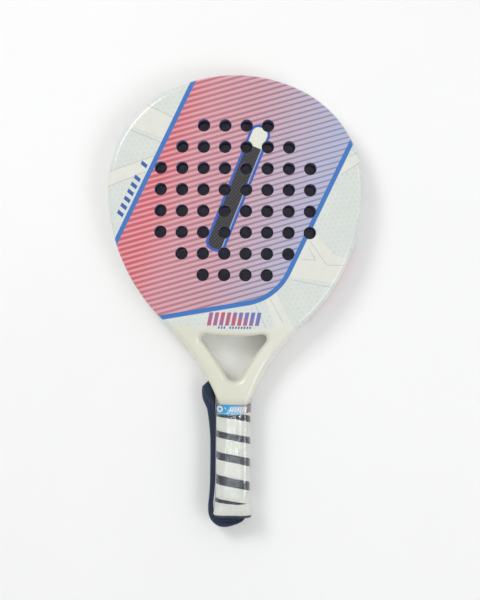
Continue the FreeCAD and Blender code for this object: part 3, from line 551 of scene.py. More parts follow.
def interpolate(turn, values):
    """Smooth curve through values given at whole turns."""
    low = min(max(int(math.floor(turn)), 0), len(values) - 2)
    share = turn - low
    before = values[max(low - 1, 0)]
    start, end = values[low], values[low + 1]
    after = values[min(low + 2, len(values) - 1)]
    slope_in, slope_out = (end - before) / 2, (after - start) / 2
    if low == 0:
        slope_in = end - start
    if low + 2 > len(values) - 1:
        slope_out = end - start
    square, cube = share ** 2, share ** 3
    return ((2 * cube - 3 * square + 1) * start + (cube - 2 * square + share) * slope_in
            + (3 * square - 2 * cube) * end + (cube - square) * slope_out)


# heights of the strip's edges at the front's middle, one for each turn
STRIP_TOPS = [-120.3 * MM, -142.2 * MM, -165 * MM, -190 * MM, -207.2 * MM, -214 * MM]
STRIP_LOWS = [-135.6 * MM, -157 * MM, -180.6 * MM, -204.2 * MM, -219.6 * MM, -228 * MM]
# how fast the edges climb before the first whole turn
STRIP_RISE = (15 * MM, 22 * MM)
STRIP_OVERLAP = 1.5 * MM
STRIP_THICK = 0.7 * MM
STRIP_LIFT = 0.45 * MM
STRIP_FOLD = 0.10 * MM
STRIP_ROUGH = 0.06 * MM
STRIP_TURNS = (-0.94, 4.9)
# the turns over which the last ones close up on each other and climb
STRIP_CLOSES = (4.02, 4.2)
STRIP_CLIMBS = (3.9, 4.3)
STRIP_STEPS = 60
STRIP_ACROSS = 16


def strip_edges(turn):
    """Upper and lower edge of the wound strip; the last turns close up and are trimmed at the butt."""
    top = interpolate(turn, STRIP_TOPS)
    low = interpolate(turn, STRIP_LOWS)
    if turn < 0:
        top = STRIP_TOPS[0] - turn * STRIP_RISE[0]
        low = STRIP_LOWS[0] - turn * STRIP_RISE[1]
    closing = smooth_step(*STRIP_CLOSES, turn)
    over = interpolate(turn - 1, STRIP_LOWS) + STRIP_OVERLAP
    top += (over - top) * closing
    return min(top, BAND_LOW + 3 * MM), max(low, GRIP_END - 0.4 * MM)


def build_wrap(material):
    """White strip wound down the grip: pillowed across, with a folded line near its lower edge."""
    mesh = bmesh.new()
    across = [n / STRIP_ACROSS for n in range(STRIP_ACROSS + 1)]
    first, last = STRIP_TURNS
    count = round((last - first) * STRIP_STEPS)
    rows = []
    for number in range(count + 1):
        turn = first + (last - first) * number / count
        top, low = strip_edges(turn)
        over = STRIP_LIFT * smooth_step(*STRIP_CLIMBS, turn) * (1 - smooth_step(4.0, 4.9, turn) * 0.2)
        row = []
        for share in across:
            y = top + (low - top) * share
            round_off = (1 - abs(2 * share - 1) ** 7) ** 0.5
            crown = 0.85 + 0.15 * math.sin(math.pi * share)
            fold = STRIP_FOLD * smooth_step(0.60, 0.68, share) * (1 - smooth_step(0.9, 1, share))
            rough = STRIP_ROUGH * noise.noise((turn * 9, share * 2.5, 4))
            out = GRIP_OUT + 2 * CLEAR + STRIP_THICK * round_off * crown + (fold + rough) * round_off
            lift = over * (1 - smooth_step(0.3, 0.7, share))
            row.append(handle_point(turn, y, out + lift))
        for share in across[-2:0:-3]:
            y = top + (low - top) * share
            lift = over * (1 - smooth_step(0.3, 0.7, share))
            row.append(handle_point(turn, y, GRIP_OUT + CLEAR + lift))
        rows.append(row)
    rows = loft(mesh, rows)
    add_face(mesh, rows[0])
    add_face(mesh, rows[-1][::-1])
    return finish_mesh(mesh, "grip_wrap", material, sharp=60)


BAND_OUT = 3.2 * MM
BAND_THICK = 0.15 * MM
BAND_STEPS = 96
BAND_ROWS = 12
BAND_UNEVEN = 0.35 * MM
BAND_PUFF = 0.12 * MM
BAND_EDGE = 0.12 * MM


def build_sleeve(name, material, rows, steps, thick, surface, sharp):
    """A thin tube round the handle; surface(turn, row) gives the height and how far out it lies."""
    mesh = bmesh.new()
    layers = []
    for inwards in (0, thick):
        sections = []
        for row in range(rows + 1):
            places = [(n / steps, *surface(n / steps, row)) for n in range(steps)]
            sections.append([handle_point(turn, y, out - inwards) for turn, y, out in places])
        layers.append(loft(mesh, sections))
    outer, inner = layers
    for end in (0, -1):
        bridge_rows(mesh, [outer[end], inner[end]], closed=True)
    return finish_mesh(mesh, name, material, sharp)


def band_surface(turn, row):
    """Printed tape round the top of the grip, its edges a little uneven."""
    share = row / BAND_ROWS
    circle_x, circle_z = math.cos(math.tau * turn), math.sin(math.tau * turn)
    uneven = BAND_UNEVEN * noise.noise((circle_x * 2, circle_z * 2, share * 1.2))
    puffed = BAND_PUFF * noise.noise((circle_x * 5, circle_z * 5, share * 3 + 9))
    edge = BAND_EDGE * abs(2 * share - 1) ** 6
    return BAND_TOP + (BAND_LOW - BAND_TOP) * share + uneven, BAND_OUT + puffed - edge


FILM_THICK = 0.12 * MM
FILM_OUT = 3.5 * MM
FILM_STEPS = 120
FILM_ROWS = 110
FILM_RAGGED = 0.9 * MM
FILM_FOLD = 2.6 * MM
FILM_NECK = 0.35 * MM


def film_wrinkle(turn, y):
    """How far the film stands off the strip: long creases along the handle, short puckers at its ends."""
    angle = math.tau * turn
    round_x, round_z = math.cos(angle), math.sin(angle)
    creases = abs(noise.noise((round_x * 5, y * 26, round_z * 5)))
    slack = noise.noise((round_x * 2.2, y * 60, round_z * 2.2 + 7))
    ends = bump(FILM_TOP - 14 * MM, FILM_TOP, FILM_TOP + 14 * MM, y)
    ends += bump(CAP_END - 9 * MM, CAP_END, GRIP_END + 12 * MM, y)
    pucker = math.sin(angle * 23 + 3 * slack) * ends
    return (0.04 * (0.35 - creases) + 0.02 * slack + 0.10 * pucker) * MM


def film_surface(turn, row):
    """Clear shrink film over the wrapped handle, a little creased, folded in over the butt."""
    y = FILM_TOP + (CAP_END - FILM_TOP) * row / FILM_ROWS
    folded = FILM_FOLD * smooth_step(GRIP_END + 0.5 * MM, CAP_END, y)
    neck = FILM_NECK * smooth_step(GRIP_TOP - 1 * MM, FILM_TOP, y)
    angle = math.tau * turn
    ragged = FILM_RAGGED * noise.noise((math.cos(angle) * 1.5, math.sin(angle) * 1.5, 2))
    height = y + ragged * (1 - smooth_step(0, 6, row))
    return max(height, CAP_END), FILM_OUT + film_wrinkle(turn, y) - folded - neck


# ---- wrist strap

WEB_HALF_WIDTH = 6 * MM
END_ROUND = 4.5 * MM
END_TWIST = math.radians(58)
END_SLANT = 8 * MM
END_SWELL = 0.15
WEB_SWAY = 0.25 * MM
ROUTE_STEPS = 330
# the strap's middle line and half thickness: out of the cap, bunched under the butt, up beside the grip
STRAP_ROUTE = [(11.5, -213, 2.2), (11.5, -218, 2.2), (10.8, -221.6, 2.4), (7.2, -224.4, 2.9), (1, -226, 3.8),
               (-6, -227.2, 4.6), (-13, -227, 4.6), (-18.9, -223.4, 3.6), (-22.4, -217.8, 2.7),
               (-22.8, -209, 2.5), (-21.8, -200, 2.5), (-20.9, -188, 2.6), (-20.8, -170, 2.6),
               (-20.8, -150, 2.6), (-20.9, -138, 2.8), (-21.5, -126, 3.3), (-22.4, -114, 4),
               (-23.9, -105, 4.4), (-25.8, -97, 3.4), (-26.4, -88, 2.7), (-25.6, -78, 2.2)]


def smooth_curve(points, count):
    """Evenly spaced samples of a smooth curve near the given points, and the curve's direction there."""
    curve = bpy.data.curves.new("route", "CURVE")
    curve.dimensions = "3D"
    curve.resolution_u = 24
    spline = curve.splines.new("NURBS")
    spline.points.add(len(points) - 1)
    for knot, point in zip(spline.points, points):
        knot.co = (*(value * MM for value in point), 1)
    spline.order_u = 3
    spline.use_endpoint_u = True
    holder = bpy.data.objects.new("route", curve)
    line = bpy.data.meshes.new_from_object(holder)
    dense = np.array([vertex.co for vertex in line.vertices])
    bpy.data.objects.remove(holder)
    bpy.data.curves.remove(curve)
    bpy.data.meshes.remove(line)
    steps = np.r_[0, np.cumsum(np.linalg.norm(np.diff(dense[:, :2], axis=0), axis=1))]
    wanted = np.linspace(0, steps[-1], count)
    even = np.stack([np.interp(wanted, steps, dense[:, axis]) for axis in range(3)], axis=1)
    ways = np.gradient(even[:, :2], axis=0)
    ways /= np.linalg.norm(ways, axis=1)[:, None]
    return even, ways, wanted


def build_strap(material):
    """Two layers of webbing lying together, edge up, with a folded end that turns its flat side up."""
    even, ways, lengths = smooth_curve(STRAP_ROUTE, ROUTE_STEPS)
    mesh = bmesh.new()
    weave_map = mesh.loops.layers.uv.new("along")
    profile = web_profile()
    rows = []
    for (x, y, half_thick), (way_x, way_y), gone in zip(even, ways, lengths):
        left = lengths[-1] - gone
        twist = END_TWIST * (1 - smooth_step(12 * MM, 34 * MM, left))
        upward = Vector((0, 0, 1))
        across = Vector((way_y, -way_x, 0))
        wide = upward * math.cos(twist) - across * math.sin(twist)
        thick = across * math.cos(twist) + upward * math.sin(twist)
        fold = math.sqrt(max(0.003, 1 - max(0, 1 - left / END_ROUND) ** 2))
        deep = half_thick * fold * (1 + END_SWELL * bump(0, 14 * MM, 30 * MM, left))
        sway = WEB_SWAY * noise.noise((gone * 30, 3, 1))
        middle = Vector((x, y, MIDDLE)) + wide * sway
        reach = WEB_HALF_WIDTH * (0.35 + 0.65 * fold)
        lag = Vector((way_x, way_y, 0)) * END_SLANT * (1 - smooth_step(0, 26 * MM, left))
        row = [middle + wide * width * reach + thick * depth * deep - lag * (1 + width) / 2
               for width, depth, _ in profile]
        rows.append((add_points(mesh, row), gone))
    for (row, low), (following, high) in zip(rows, rows[1:]):
        for number in range(len(profile)):
            after = (number + 1) % len(profile)
            face = mesh.faces.new((row[number], row[after], following[after], following[number]))
            start = profile[number][2]
            end = profile[after][2] if after else 1
            for loop, spot in zip(face.loops, ((start, low), (end, low), (end, high), (start, high))):
                loop[weave_map].uv = (spot[0], spot[1] / MM)
    mesh.faces.new(rows[0][0][::-1])
    mesh.faces.new(rows[-1][0])
    return finish_mesh(mesh, "wrist_strap", material, sharp=55)


def web_profile():
    """The doubled webbing's section in half widths and half thicknesses, and the share of the way round."""
    side = [(-0.95, 1), (-0.6, 1), (-0.2, 1), (0.2, 1), (0.6, 1), (0.95, 1)]
    # the edge is grooved where the two layers meet
    edge = [(0.99, 0.86), (1, 0.5), (0.985, 0.16), (0.82, 0), (0.985, -0.16), (1, -0.5), (0.99, -0.86)]
    points = side + edge + [(-x, -y) for x, y in side] + [(-x, -y) for x, y in edge]
    ways = [math.hypot((b[0] - a[0]) * 6, (b[1] - a[1]) * 2.2)
            for a, b in zip(points, points[1:] + points[:1])]
    total, gone = sum(ways), 0
    profile = []
    for (width, depth), way in zip(points, ways):
        profile.append((width, depth, gone / total))
        gone += way
    return profile


# ---- material graphs; colours are screen values from 0 to 255

def linear(colour):
    """A colour from 0 to 255 in Blender's own linear values; what a node gives stays as it is."""
    if isinstance(colour, Value):
        return colour
    shares = [value / 255 for value in colour]
    return (*(v / 12.92 if v <= 0.04045 else ((v + 0.055) / 1.055) ** 2.4 for v in shares), 1)


def operator(name, swapped=False):
    """A method that joins a value and the other one with a math node."""
    def apply(self, *other):
        return self.graph.math(name, *((*other, self) if swapped else (self, *other)))
    return apply


class Value:
    """A number that a node gives; arithmetic on it adds math nodes."""

    def __init__(self, graph, socket):
        self.graph = graph
        self.socket = socket

    __add__ = __radd__ = operator("ADD")
    __mul__ = __rmul__ = operator("MULTIPLY")
    __sub__ = operator("SUBTRACT")
    __rsub__ = operator("SUBTRACT", swapped=True)
    __truediv__ = operator("DIVIDE")
    __abs__ = operator("ABSOLUTE")


class Graph:
    """A material being built from nodes round one Principled shader."""

    tone = None

    def __init__(self, name, **constants):
        self.material = bpy.data.materials.new(name)
        self.material.use_nodes = True
        self.tree = self.material.node_tree
        self.shader = self.tree.nodes["Principled BSDF"]
        for socket, value in constants.items():
            self.shader.inputs[socket.replace("_", " ")].default_value = value

    def node(self, kind, **settings):
        made = self.tree.nodes.new(f"ShaderNode{kind}")
        for name, value in settings.items():
            setattr(made, name, value)
        return made

    def feed(self, socket, value):
        if isinstance(value, Value):
            self.tree.links.new(value.socket, socket)
        else:
            socket.default_value = value

    def math(self, operation, *values, clamp=False):
        node = self.node("Math", operation=operation, use_clamp=clamp)
        for socket, value in zip(node.inputs, values):
            self.feed(socket, value)
        return Value(self, node.outputs[0])

    def smallest(self, *values):
        return functools.reduce(functools.partial(self.math, "MINIMUM"), values)

    def largest(self, *values):
        return functools.reduce(functools.partial(self.math, "MAXIMUM"), values)

    def modulo(self, value, period):
        return self.math("FLOORED_MODULO", value, period)

    def scaled(self, value, factor, offset, clamp=False):
        return self.math("MULTIPLY_ADD", value, factor, offset, clamp=clamp)

    def length(self, x, y):
        return self.math("SQRT", x * x + y * y)

    def above(self, value, limit, soft):
        """0 below the limit and 1 above it, with a soft edge."""
        return self.scaled(value - limit, 1 / soft, 0.5, clamp=True)

    def below(self, value, limit, soft):
        return self.scaled(value - limit, -1 / soft, 0.5, clamp=True)

    def split(self, kind):
        """The three parts of a texture coordinate."""
        coordinates = self.node("TexCoord")
        parts = self.node("SeparateXYZ")
        self.tree.links.new(coordinates.outputs[kind], parts.inputs[0])
        return [Value(self, socket) for socket in parts.outputs]

    def position(self):
        """Object-space x, y and z, in millimetres."""
        return [part * (1 / MM) for part in self.split("Object")]

    def place(self):
        """The position as one vector."""
        return self.vector(*self.position())

    def vector(self, x, y, z):
        joined = self.node("CombineXYZ")
        for socket, value in zip(joined.inputs, (x, y, z)):
            self.feed(socket, value)
        return Value(self, joined.outputs[0])

    def noise(self, where, scale, detail=2.0, roughness=0.5):
        """Smooth noise from 0 to 1 over a vector in millimetres; scale is per millimetre."""
        node = self.node("TexNoise")
        self.tree.links.new(where.socket, node.inputs["Vector"])
        node.inputs["Scale"].default_value = scale
        node.inputs["Detail"].default_value = detail
        node.inputs["Roughness"].default_value = roughness
        return Value(self, node.outputs[0])

    def mix(self, share, first, second):
        """A colour that is the first at share 0 and the second at share 1."""
        node = self.node("Mix", data_type="RGBA")
        self.feed(node.inputs["Factor"], share)
        self.feed(node.inputs[6], linear(first))
        self.feed(node.inputs[7], linear(second))
        return Value(self, node.outputs[2])

    def cover(self, mask, colour):
        """Lays a colour over what was laid before it, where the mask is 1."""
        self.tone = self.mix(mask, self.tone, colour)

    def ramp(self, share, stops):
        node = self.node("ValToRGB")
        self.feed(node.inputs[0], share)
        marks = node.color_ramp.elements
        while len(marks) < len(stops):
            marks.new(0.5)
        for mark, (place, colour) in zip(marks, stops):
            mark.position = place
            mark.color = linear(colour)
        return Value(self, node.outputs[0])

    def colour(self, value):
        self.feed(self.shader.inputs["Base Color"], value)

    def roughness(self, value, swing, base):
        self.feed(self.shader.inputs["Roughness"], self.scaled(value, swing, base))

    def relief(self, height, distance, strength=1.0):
        """Bump from a height of 0 to 1 that stands distance metres tall."""
        node = self.node("Bump")
        node.inputs["Strength"].default_value = strength
        node.inputs["Distance"].default_value = distance
        self.feed(node.inputs["Height"], height)
        self.tree.links.new(node.outputs[0], self.shader.inputs["Normal"])


def hex_cells(graph, x, y, size):
    """0 in the middle of a hexagonal cell and 1 on its border."""
    tall = size * math.sqrt(3)

    def wrap(value, period, offset):
        return graph.modulo(value + offset, period) - period / 2

    first = wrap(x, size, 0), wrap(y, tall, 0)
    second = wrap(x, size, size / 2), wrap(y, tall, tall / 2)

    def reach(cell):
        across, up = abs(cell[0]), abs(cell[1])
        return graph.largest(across, across * 0.5 + up * (math.sqrt(3) / 2)) / (size / 2)

    return graph.smallest(reach(first), reach(second))


# the printed design, in millimetres seen from the front
FIELD_SLOPE = math.radians(64.7)
LEFT_LINE = (-119.1, 63.4)
RIGHT_LINE = (56.2, 32.5)
BOTTOM_LINE = (-73.4, -17.3)
BOTTOM_SLOPE = math.radians(9.9)
BOTTOM_ROUND = 56.8
BORDER = 4.8
STRIPE_SLOPE = math.radians(16.3)
STRIPE_PITCH = 5.25
BAR_MIDDLE = (2.6, 114.5)
BAR_SLOPE = math.radians(68.6)
BAR_HALF_LENGTH = 65.7
BAR_HALF_WIDTH = 8
BAR_OUTLINE = 2.7
BAR_TIP = 45.4
CREAM_FROM = (58, -24)
CREAM_RUN = (-0.72, -0.69)

# lines between two points that part the pale panels, left and right of the field
LEFT_SEAMS = [((-92, 199), (-64, 186)), ((-110, 174), (-76, 160.5)),
              ((-128, 130.6), (-78, 148.3)), ((-130, 115), (-92, 130.5))]
RIGHT_SEAMS = [((116, 147.6), (128, 154)), ((107, 129), (130, 144.5)),
               ((76.8, 60.6), (92.2, 39.1)), ((92.2, 39.1), (95.5, 37.1)), ((95.5, 37.1), (118, 37.1)),
               ((75, 54.3), (82, 42.2)), ((82, 42.2), (68.7, 42.8)),
               ((58.8, 21.9), (97.5, 14.7)), ((36.7, 1.6), (49.1, -20.9)), ((21.5, -4.7), (32.3, -27))]
# plain bands: the line along the upper edge, the line along the lower edge
LEFT_BANDS = [(((-89.4, 197.7), (-66.5, 187)), ((-106.3, 176.8), (-79.6, 166.6))),
              (((-125, 131.7), (-82, 146.9)), ((-128, 115.8), (-98.3, 127.9)))]
RIGHT_BANDS = [(((116, 147.6), (128, 154)), ((107, 129), (130, 144.5)))]
# the plain patch on the lower right: its bent upper edge and its lower edge
PATCH_TOP = [((82.2, 67), (99.8, 48.6)), ((99.8, 48.6), (115, 42.8))]
PATCH_LOW = ((61.3, 24.8), (100, 18.8))
# the short plain band beside the bars
SHORT_BAND = (((43.7, 4.8), (56.4, -19.3)), ((32.4, -0.9), (40.6, -24.4)))
# rows of bars: origin, slope, lean, pitch, height, count, the bars left out, and share of the pitch filled
BOTTOM_BARS = ((-29, -25.2), 0.0, 0.2, 6.1, 13.5, 9, (), 0.66)
SMALL_BARS = ((-17.5, -28.4), 0.0, 0.25, 2.9, 2.4, 12, (3,), 0.6)
LEFT_BARS = ((-115.5, 82), FIELD_SLOPE, 0.25, 7.9, 7, 8, (6,), 0.5)
# half widths about the racket's middle plane: the cream on its sides, and the line printed beside it
MIDDLE_MM = MIDDLE / MM
SIDE_REACH = 12
PIN_REACH = 11.2
HOLES_MIDDLE_Y = 102
HOLES_REACH = (88, 87)
BORDER_BLUE = (56, 118, 194)
BLEND_FROM = (-0.27, -110, 170)


def half_plane(graph, x, y, point, slope, flip=1):
    """Signed distance from a sloping line, positive on its left side seen along the slope."""
    across, up = -math.sin(slope) * flip, math.cos(slope) * flip
    return x * across + y * up - (point[0] * across + point[1] * up)


def field_distance(graph, x, y):
    """How far inside the coloured field a point lies: two slanted sides and one round corner."""
    left = half_plane(graph, x, y, LEFT_LINE, FIELD_SLOPE, -1)
    right = half_plane(graph, x, y, RIGHT_LINE, FIELD_SLOPE)
    bottom = half_plane(graph, x, y, BOTTOM_LINE, BOTTOM_SLOPE)
    normal_right = Vector((-math.sin(FIELD_SLOPE), math.cos(FIELD_SLOPE)))
    normal_bottom = Vector((-math.sin(BOTTOM_SLOPE), math.cos(BOTTOM_SLOPE)))
    # the round corner's centre is BOTTOM_ROUND from both lines
    first = BOTTOM_ROUND + normal_right.dot(RIGHT_LINE)
    second = BOTTOM_ROUND + normal_bottom.dot(BOTTOM_LINE)
    cross = normal_right.x * normal_bottom.y - normal_right.y * normal_bottom.x
    centre = Vector(((first * normal_bottom.y - second * normal_right.y) / cross,
                     (normal_right.x * second - normal_bottom.x * first) / cross))
    from_x, from_y = x - centre.x, y - centre.y
    along_right = from_x * math.cos(FIELD_SLOPE) + from_y * math.sin(FIELD_SLOPE)
    along_bottom = from_x * math.cos(BOTTOM_SLOPE) + from_y * math.sin(BOTTOM_SLOPE)
    in_corner = graph.below(along_right, 0, 0.001) * graph.above(along_bottom, 0, 0.001)
    straight = graph.smallest(right, bottom)
    curved = BOTTOM_ROUND - graph.length(from_x, from_y)
    return graph.smallest(left, straight + (curved - straight) * in_corner)


def segment_distance(graph, x, y, start, end):
    """Distance from a straight stretch."""
    run = Vector(end) - Vector(start)
    from_x, from_y = x - start[0], y - start[1]
    share = graph.math("MULTIPLY", from_x * run.x + from_y * run.y, 1 / run.length_squared, clamp=True)
    return graph.length(from_x - share * run.x, from_y - share * run.y)


def above_line(graph, x, y, line):
    """Signed distance over the line through two points, positive on its upper side."""
    start, end = sorted(line)
    return half_plane(graph, x, y, start, math.atan2(end[1] - start[1], end[0] - start[0]))


def nearest_seam(graph, x, y, seams):
    return graph.smallest(*(segment_distance(graph, x, y, *seam) for seam in seams))


def slanted_bars(graph, x, y, origin, slope, lean, pitch, height, count, gaps, fill):
    """A row of slanted bars standing in for lettering: 1 on a bar and 0 between them."""
    from_x, from_y = x - origin[0], y - origin[1]
    along = from_x * math.cos(slope) + from_y * math.sin(slope)
    up = from_y * math.cos(slope) - from_x * math.sin(slope)
    slid = along - up * lean
    phase = graph.modulo(slid, pitch)
    mask = graph.below(abs(phase - pitch / 2), pitch * fill / 2, 0.35)
    mask = mask * graph.above(slid, 0, 0.3) * graph.below(slid, pitch * count, 0.3)
    mask = mask * graph.below(abs(up - height / 2), height / 2, 0.35)
    for gap in gaps:
        mask = mask * graph.above(abs(slid - (gap + 0.5) * pitch), pitch / 2, 0.2)
    return mask, along, up


def field_colour(graph, x, y):
    """Red on the left to lavender on the right, under rising stripes that thin out towards the right."""
    slant, low, span = BLEND_FROM
    share = (x + y * slant - low) / span
    ground = graph.ramp(share, [(0.0, (232, 156, 162)), (0.17, (227, 166, 173)),
                                (0.47, (216, 170, 181)), (0.70, (201, 181, 197)),
                                (1.0, (186, 187, 213))])
    ink = graph.ramp(share, [(0.0, (203, 92, 106)), (0.17, (188, 122, 136)),
                             (0.47, (168, 121, 138)), (0.70, (152, 132, 156)),
                             (1.0, (134, 142, 177))])
    across = y * math.cos(STRIPE_SLOPE) - x * math.sin(STRIPE_SLOPE)
    phase = graph.modulo(across, STRIPE_PITCH)
    half_width = graph.scaled(share, -0.7, 1.45)
    stripe = graph.scaled(half_width - abs(phase - STRIPE_PITCH / 2), 1 / 0.7, 0.5, clamp=True)
    return graph.mix(stripe, ground, ink), stripe


def bar_layers(graph, x, y):
    """The slanted carbon window in the field's middle: distance inside it, and its own coordinates."""
    from_x, from_y = x - BAR_MIDDLE[0], y - BAR_MIDDLE[1]
    along = from_x * math.cos(BAR_SLOPE) + from_y * math.sin(BAR_SLOPE)
    across = from_x * math.sin(BAR_SLOPE) - from_y * math.cos(BAR_SLOPE)
    bend = 6.5
    over_x = graph.largest(abs(across) - (BAR_HALF_WIDTH - bend), 0.0)
    over_y = graph.largest(abs(along) - (BAR_HALF_LENGTH - bend), 0.0)
    return bend - graph.length(over_x, over_y), along, across


def weave(graph, along, across, pitch):
    """Plain weave of crossing tows: 1 on the tows that run along, and the tows' rounded height."""
    column = graph.modulo(across, pitch) / pitch
    row = graph.modulo(along, pitch) / pitch
    swap = graph.math("SINE", across * (math.pi / pitch)) * graph.math("SINE", along * (math.pi / pitch))
    over = graph.above(swap, 0, 0.3)
    column_round = 1 - abs(column - 0.5) * 2
    row_round = 1 - abs(row - 0.5) * 2
    return over, column_round * over + row_round * (1 - over)


def band_mask(graph, x, y, bands):
    """1 between the two lines of any of the bands."""
    return graph.largest(*(graph.below(above_line(graph, x, y, upper), 0, 0.8)
                           * graph.above(above_line(graph, x, y, lower), 0, 0.8)
                           for upper, lower in bands))


def panel_colour(graph, x, y, place):
    """Pale pearly print with a faint hexagon mesh, plain bands and fine seams."""
    cells = hex_cells(graph, x + y * 0.12, y - x * 0.12, 5.6)
    border = graph.above(cells, 0.80, 0.2)
    cloud = graph.noise(place, 0.14, 2)
    cell_tone = graph.mix(cloud, (211, 218, 212), (223, 228, 223))
    strength = graph.above(graph.noise(place, 0.05, 1), 0.5, 0.5)
    mesh_tone = graph.mix(border * (strength * 0.6 + 0.2), cell_tone, (232, 235, 229))
    plain = graph.ramp(cloud, [(0.2, (227, 228, 218)), (0.8, (233, 234, 226))])
    on_right = graph.above(x, 0, 1)
    right, left = [band_mask(graph, x, y, bands) for bands in (RIGHT_BANDS, LEFT_BANDS)]
    step = graph.smallest(*(above_line(graph, x, y, line) for line in PATCH_TOP))
    patch = graph.below(step, 0, 0.8) * graph.above(above_line(graph, x, y, PATCH_LOW), 0, 0.8)
    short = band_mask(graph, x, y, [SHORT_BAND]) * graph.below(y, 18, 1)
    bands = graph.largest(on_right * right + (1 - on_right) * left, patch * graph.above(x, 40, 1), short)
    tone = graph.mix(bands, mesh_tone, plain)
    warm = nearest_seam(graph, x, y, LEFT_SEAMS)
    cool = nearest_seam(graph, x, y, RIGHT_SEAMS)
    tone = graph.mix(graph.below(warm, 0.3, 0.4) * 0.65, tone, (186, 150, 146))
    return graph.mix(graph.below(cool, 0.3, 0.4) * 0.65, tone, (160, 168, 182))


def paint_material():
    """Clear-coated print: coloured field, pale panels, carbon window, and cream round the throat."""
    graph = Graph("painted_print", Coat_Weight=0.6, Coat_Roughness=0.06, Coat_IOR=1.5)
    world_x, y, z = graph.position()
    front = graph.above(z, MIDDLE_MM, 0.001)
    x = world_x * (front * 2 - 1)
    place = graph.vector(world_x, y, z)
    fine = graph.noise(place, 1.6, 3)
    slow = graph.noise(place, 0.022, 1)
    graph.tone = panel_colour(graph, x, y, place)

    # coloured field with its blue border
    inside_field = field_distance(graph, x, y)
    field, stripe = field_colour(graph, x, y)
    graph.cover(graph.above(inside_field, -BORDER / 2, 0.35), BORDER_BLUE)
    graph.cover(graph.above(inside_field, BORDER / 2, 0.35), field)

    # carbon window
    depth, along, across = bar_layers(graph, x, y)
    over, tows = weave(graph, y, x, 1.8)
    carbon = graph.mix(over, (12, 12, 18), (62, 61, 66))
    carbon = graph.mix(graph.above(fine, 0.60, 0.1) * 0.4, carbon, (84, 84, 88))
    window = graph.mix(graph.above(along, BAR_TIP, 0.35), carbon, (231, 233, 219))
    light_edge = graph.above(across, BAR_HALF_WIDTH - 1.1, 0.3) * graph.below(along, BAR_TIP, 0.3)
    window = graph.mix(light_edge * 0.8, window, (176, 190, 220))
    in_window = graph.above(depth, 0, 0.3)
    graph.cover(graph.above(depth, -BAR_OUTLINE, 0.3), (50, 94, 186))
    graph.cover(in_window, window)

    # generic bars where lettering would be
    bars, bar_x, bar_y = slanted_bars(graph, x, y, *BOTTOM_BARS)
    bar_ink = graph.ramp((bar_x + bar_y * 1.6) / 66,
                         [(0.0, (204, 84, 112)), (0.3, (160, 106, 150)),
                          (0.55, (196, 88, 114)), (0.8, (138, 112, 168)),
                          (1.0, (112, 116, 186))])
    graph.cover(bars, bar_ink)
    small, _, _ = slanted_bars(graph, x, y, *SMALL_BARS)
    graph.cover(small * 0.9, (52, 84, 140))
    marks, _, _ = slanted_bars(graph, x, y, *LEFT_BARS)
    graph.cover(marks, (48, 98, 168))

    # cream base coat: the throat below the sheet, and the middle of the sides
    cream = graph.mix(slow, (222, 222, 204), (232, 231, 215))
    # the cream is painted whiter towards the right (+X): a painted highlight on the right arm, where the
    # light from the right falls
    cream = graph.mix(graph.above(world_x, 35, 70) * 0.7, cream, (236, 236, 230))
    below_ridge = graph.length(x, y - (RIDGE_Y + RIDGE) / MM) - RIDGE / MM
    past_rim = (abs(x) - CREAM_FROM[0]) * CREAM_RUN[0] + (y - CREAM_FROM[1]) * CREAM_RUN[1]
    is_throat = graph.above(below_ridge, 0.6, 0.5) * graph.above(past_rim, 0, 0.6)
    off_middle = abs(z - MIDDLE_MM)
    on_side = graph.below(off_middle, SIDE_REACH, 0.4)
    graph.cover(graph.largest(is_throat, on_side), cream)
    pin = graph.below(abs(off_middle - PIN_REACH), 0.35, 0.2) * graph.below(past_rim, 0, 0.6)
    graph.cover(pin, BORDER_BLUE)

    # the cut edge of the sheet round each hole
    near_holes = graph.below(abs(x), HOLES_REACH[0], 0.1)
    near_holes = near_holes * graph.below(abs(y - HOLES_MIDDLE_Y), HOLES_REACH[1], 0.1)
    cut = graph.above(MIDDLE_MM - off_middle, 0.14, 0.06) * near_holes
    graph.cover(cut * 0.8, (96, 98, 116))

    graph.colour(graph.tone)
    graph.roughness(fine, 0.10, in_window * 0.08 + 0.24)
    height = fine * 0.10 + slow * 0.5 + tows * in_window * 0.22 + stripe * 0.05
    graph.relief(height, 0.00016, 0.8)
    return graph.material


def foam_material():
    """Closed-cell foam: mid grey-blue that looks dark down the holes, with fine pores and blotches."""
    graph = Graph("dark_foam", Specular_IOR_Level=0.35)
    place = graph.place()
    pores = graph.node("TexVoronoi")
    graph.tree.links.new(place.socket, pores.inputs["Vector"])
    pores.inputs["Scale"].default_value = 1.7
    cell = Value(graph, pores.outputs["Distance"])
    blotch = graph.noise(place, 0.25, 3)
    graph.colour(graph.ramp(blotch, [(0.3, (150, 148, 180)), (0.7, (172, 170, 204))]))
    graph.roughness(cell, 0.25, 0.55)
    graph.relief(cell, 0.0003, 0.6)
    return graph.material


def raw_foam_material():
    """Tan handle foam."""
    graph = Graph("handle_foam", Specular_IOR_Level=0.2)
    grain = graph.noise(graph.place(), 0.9, 5, 0.7)
    graph.colour(graph.ramp(grain, [(0.3, (176, 156, 118)), (0.7, (206, 190, 152))]))
    graph.roughness(grain, 0.2, 0.75)
    graph.relief(grain, 0.0004, 0.7)
    return graph.material


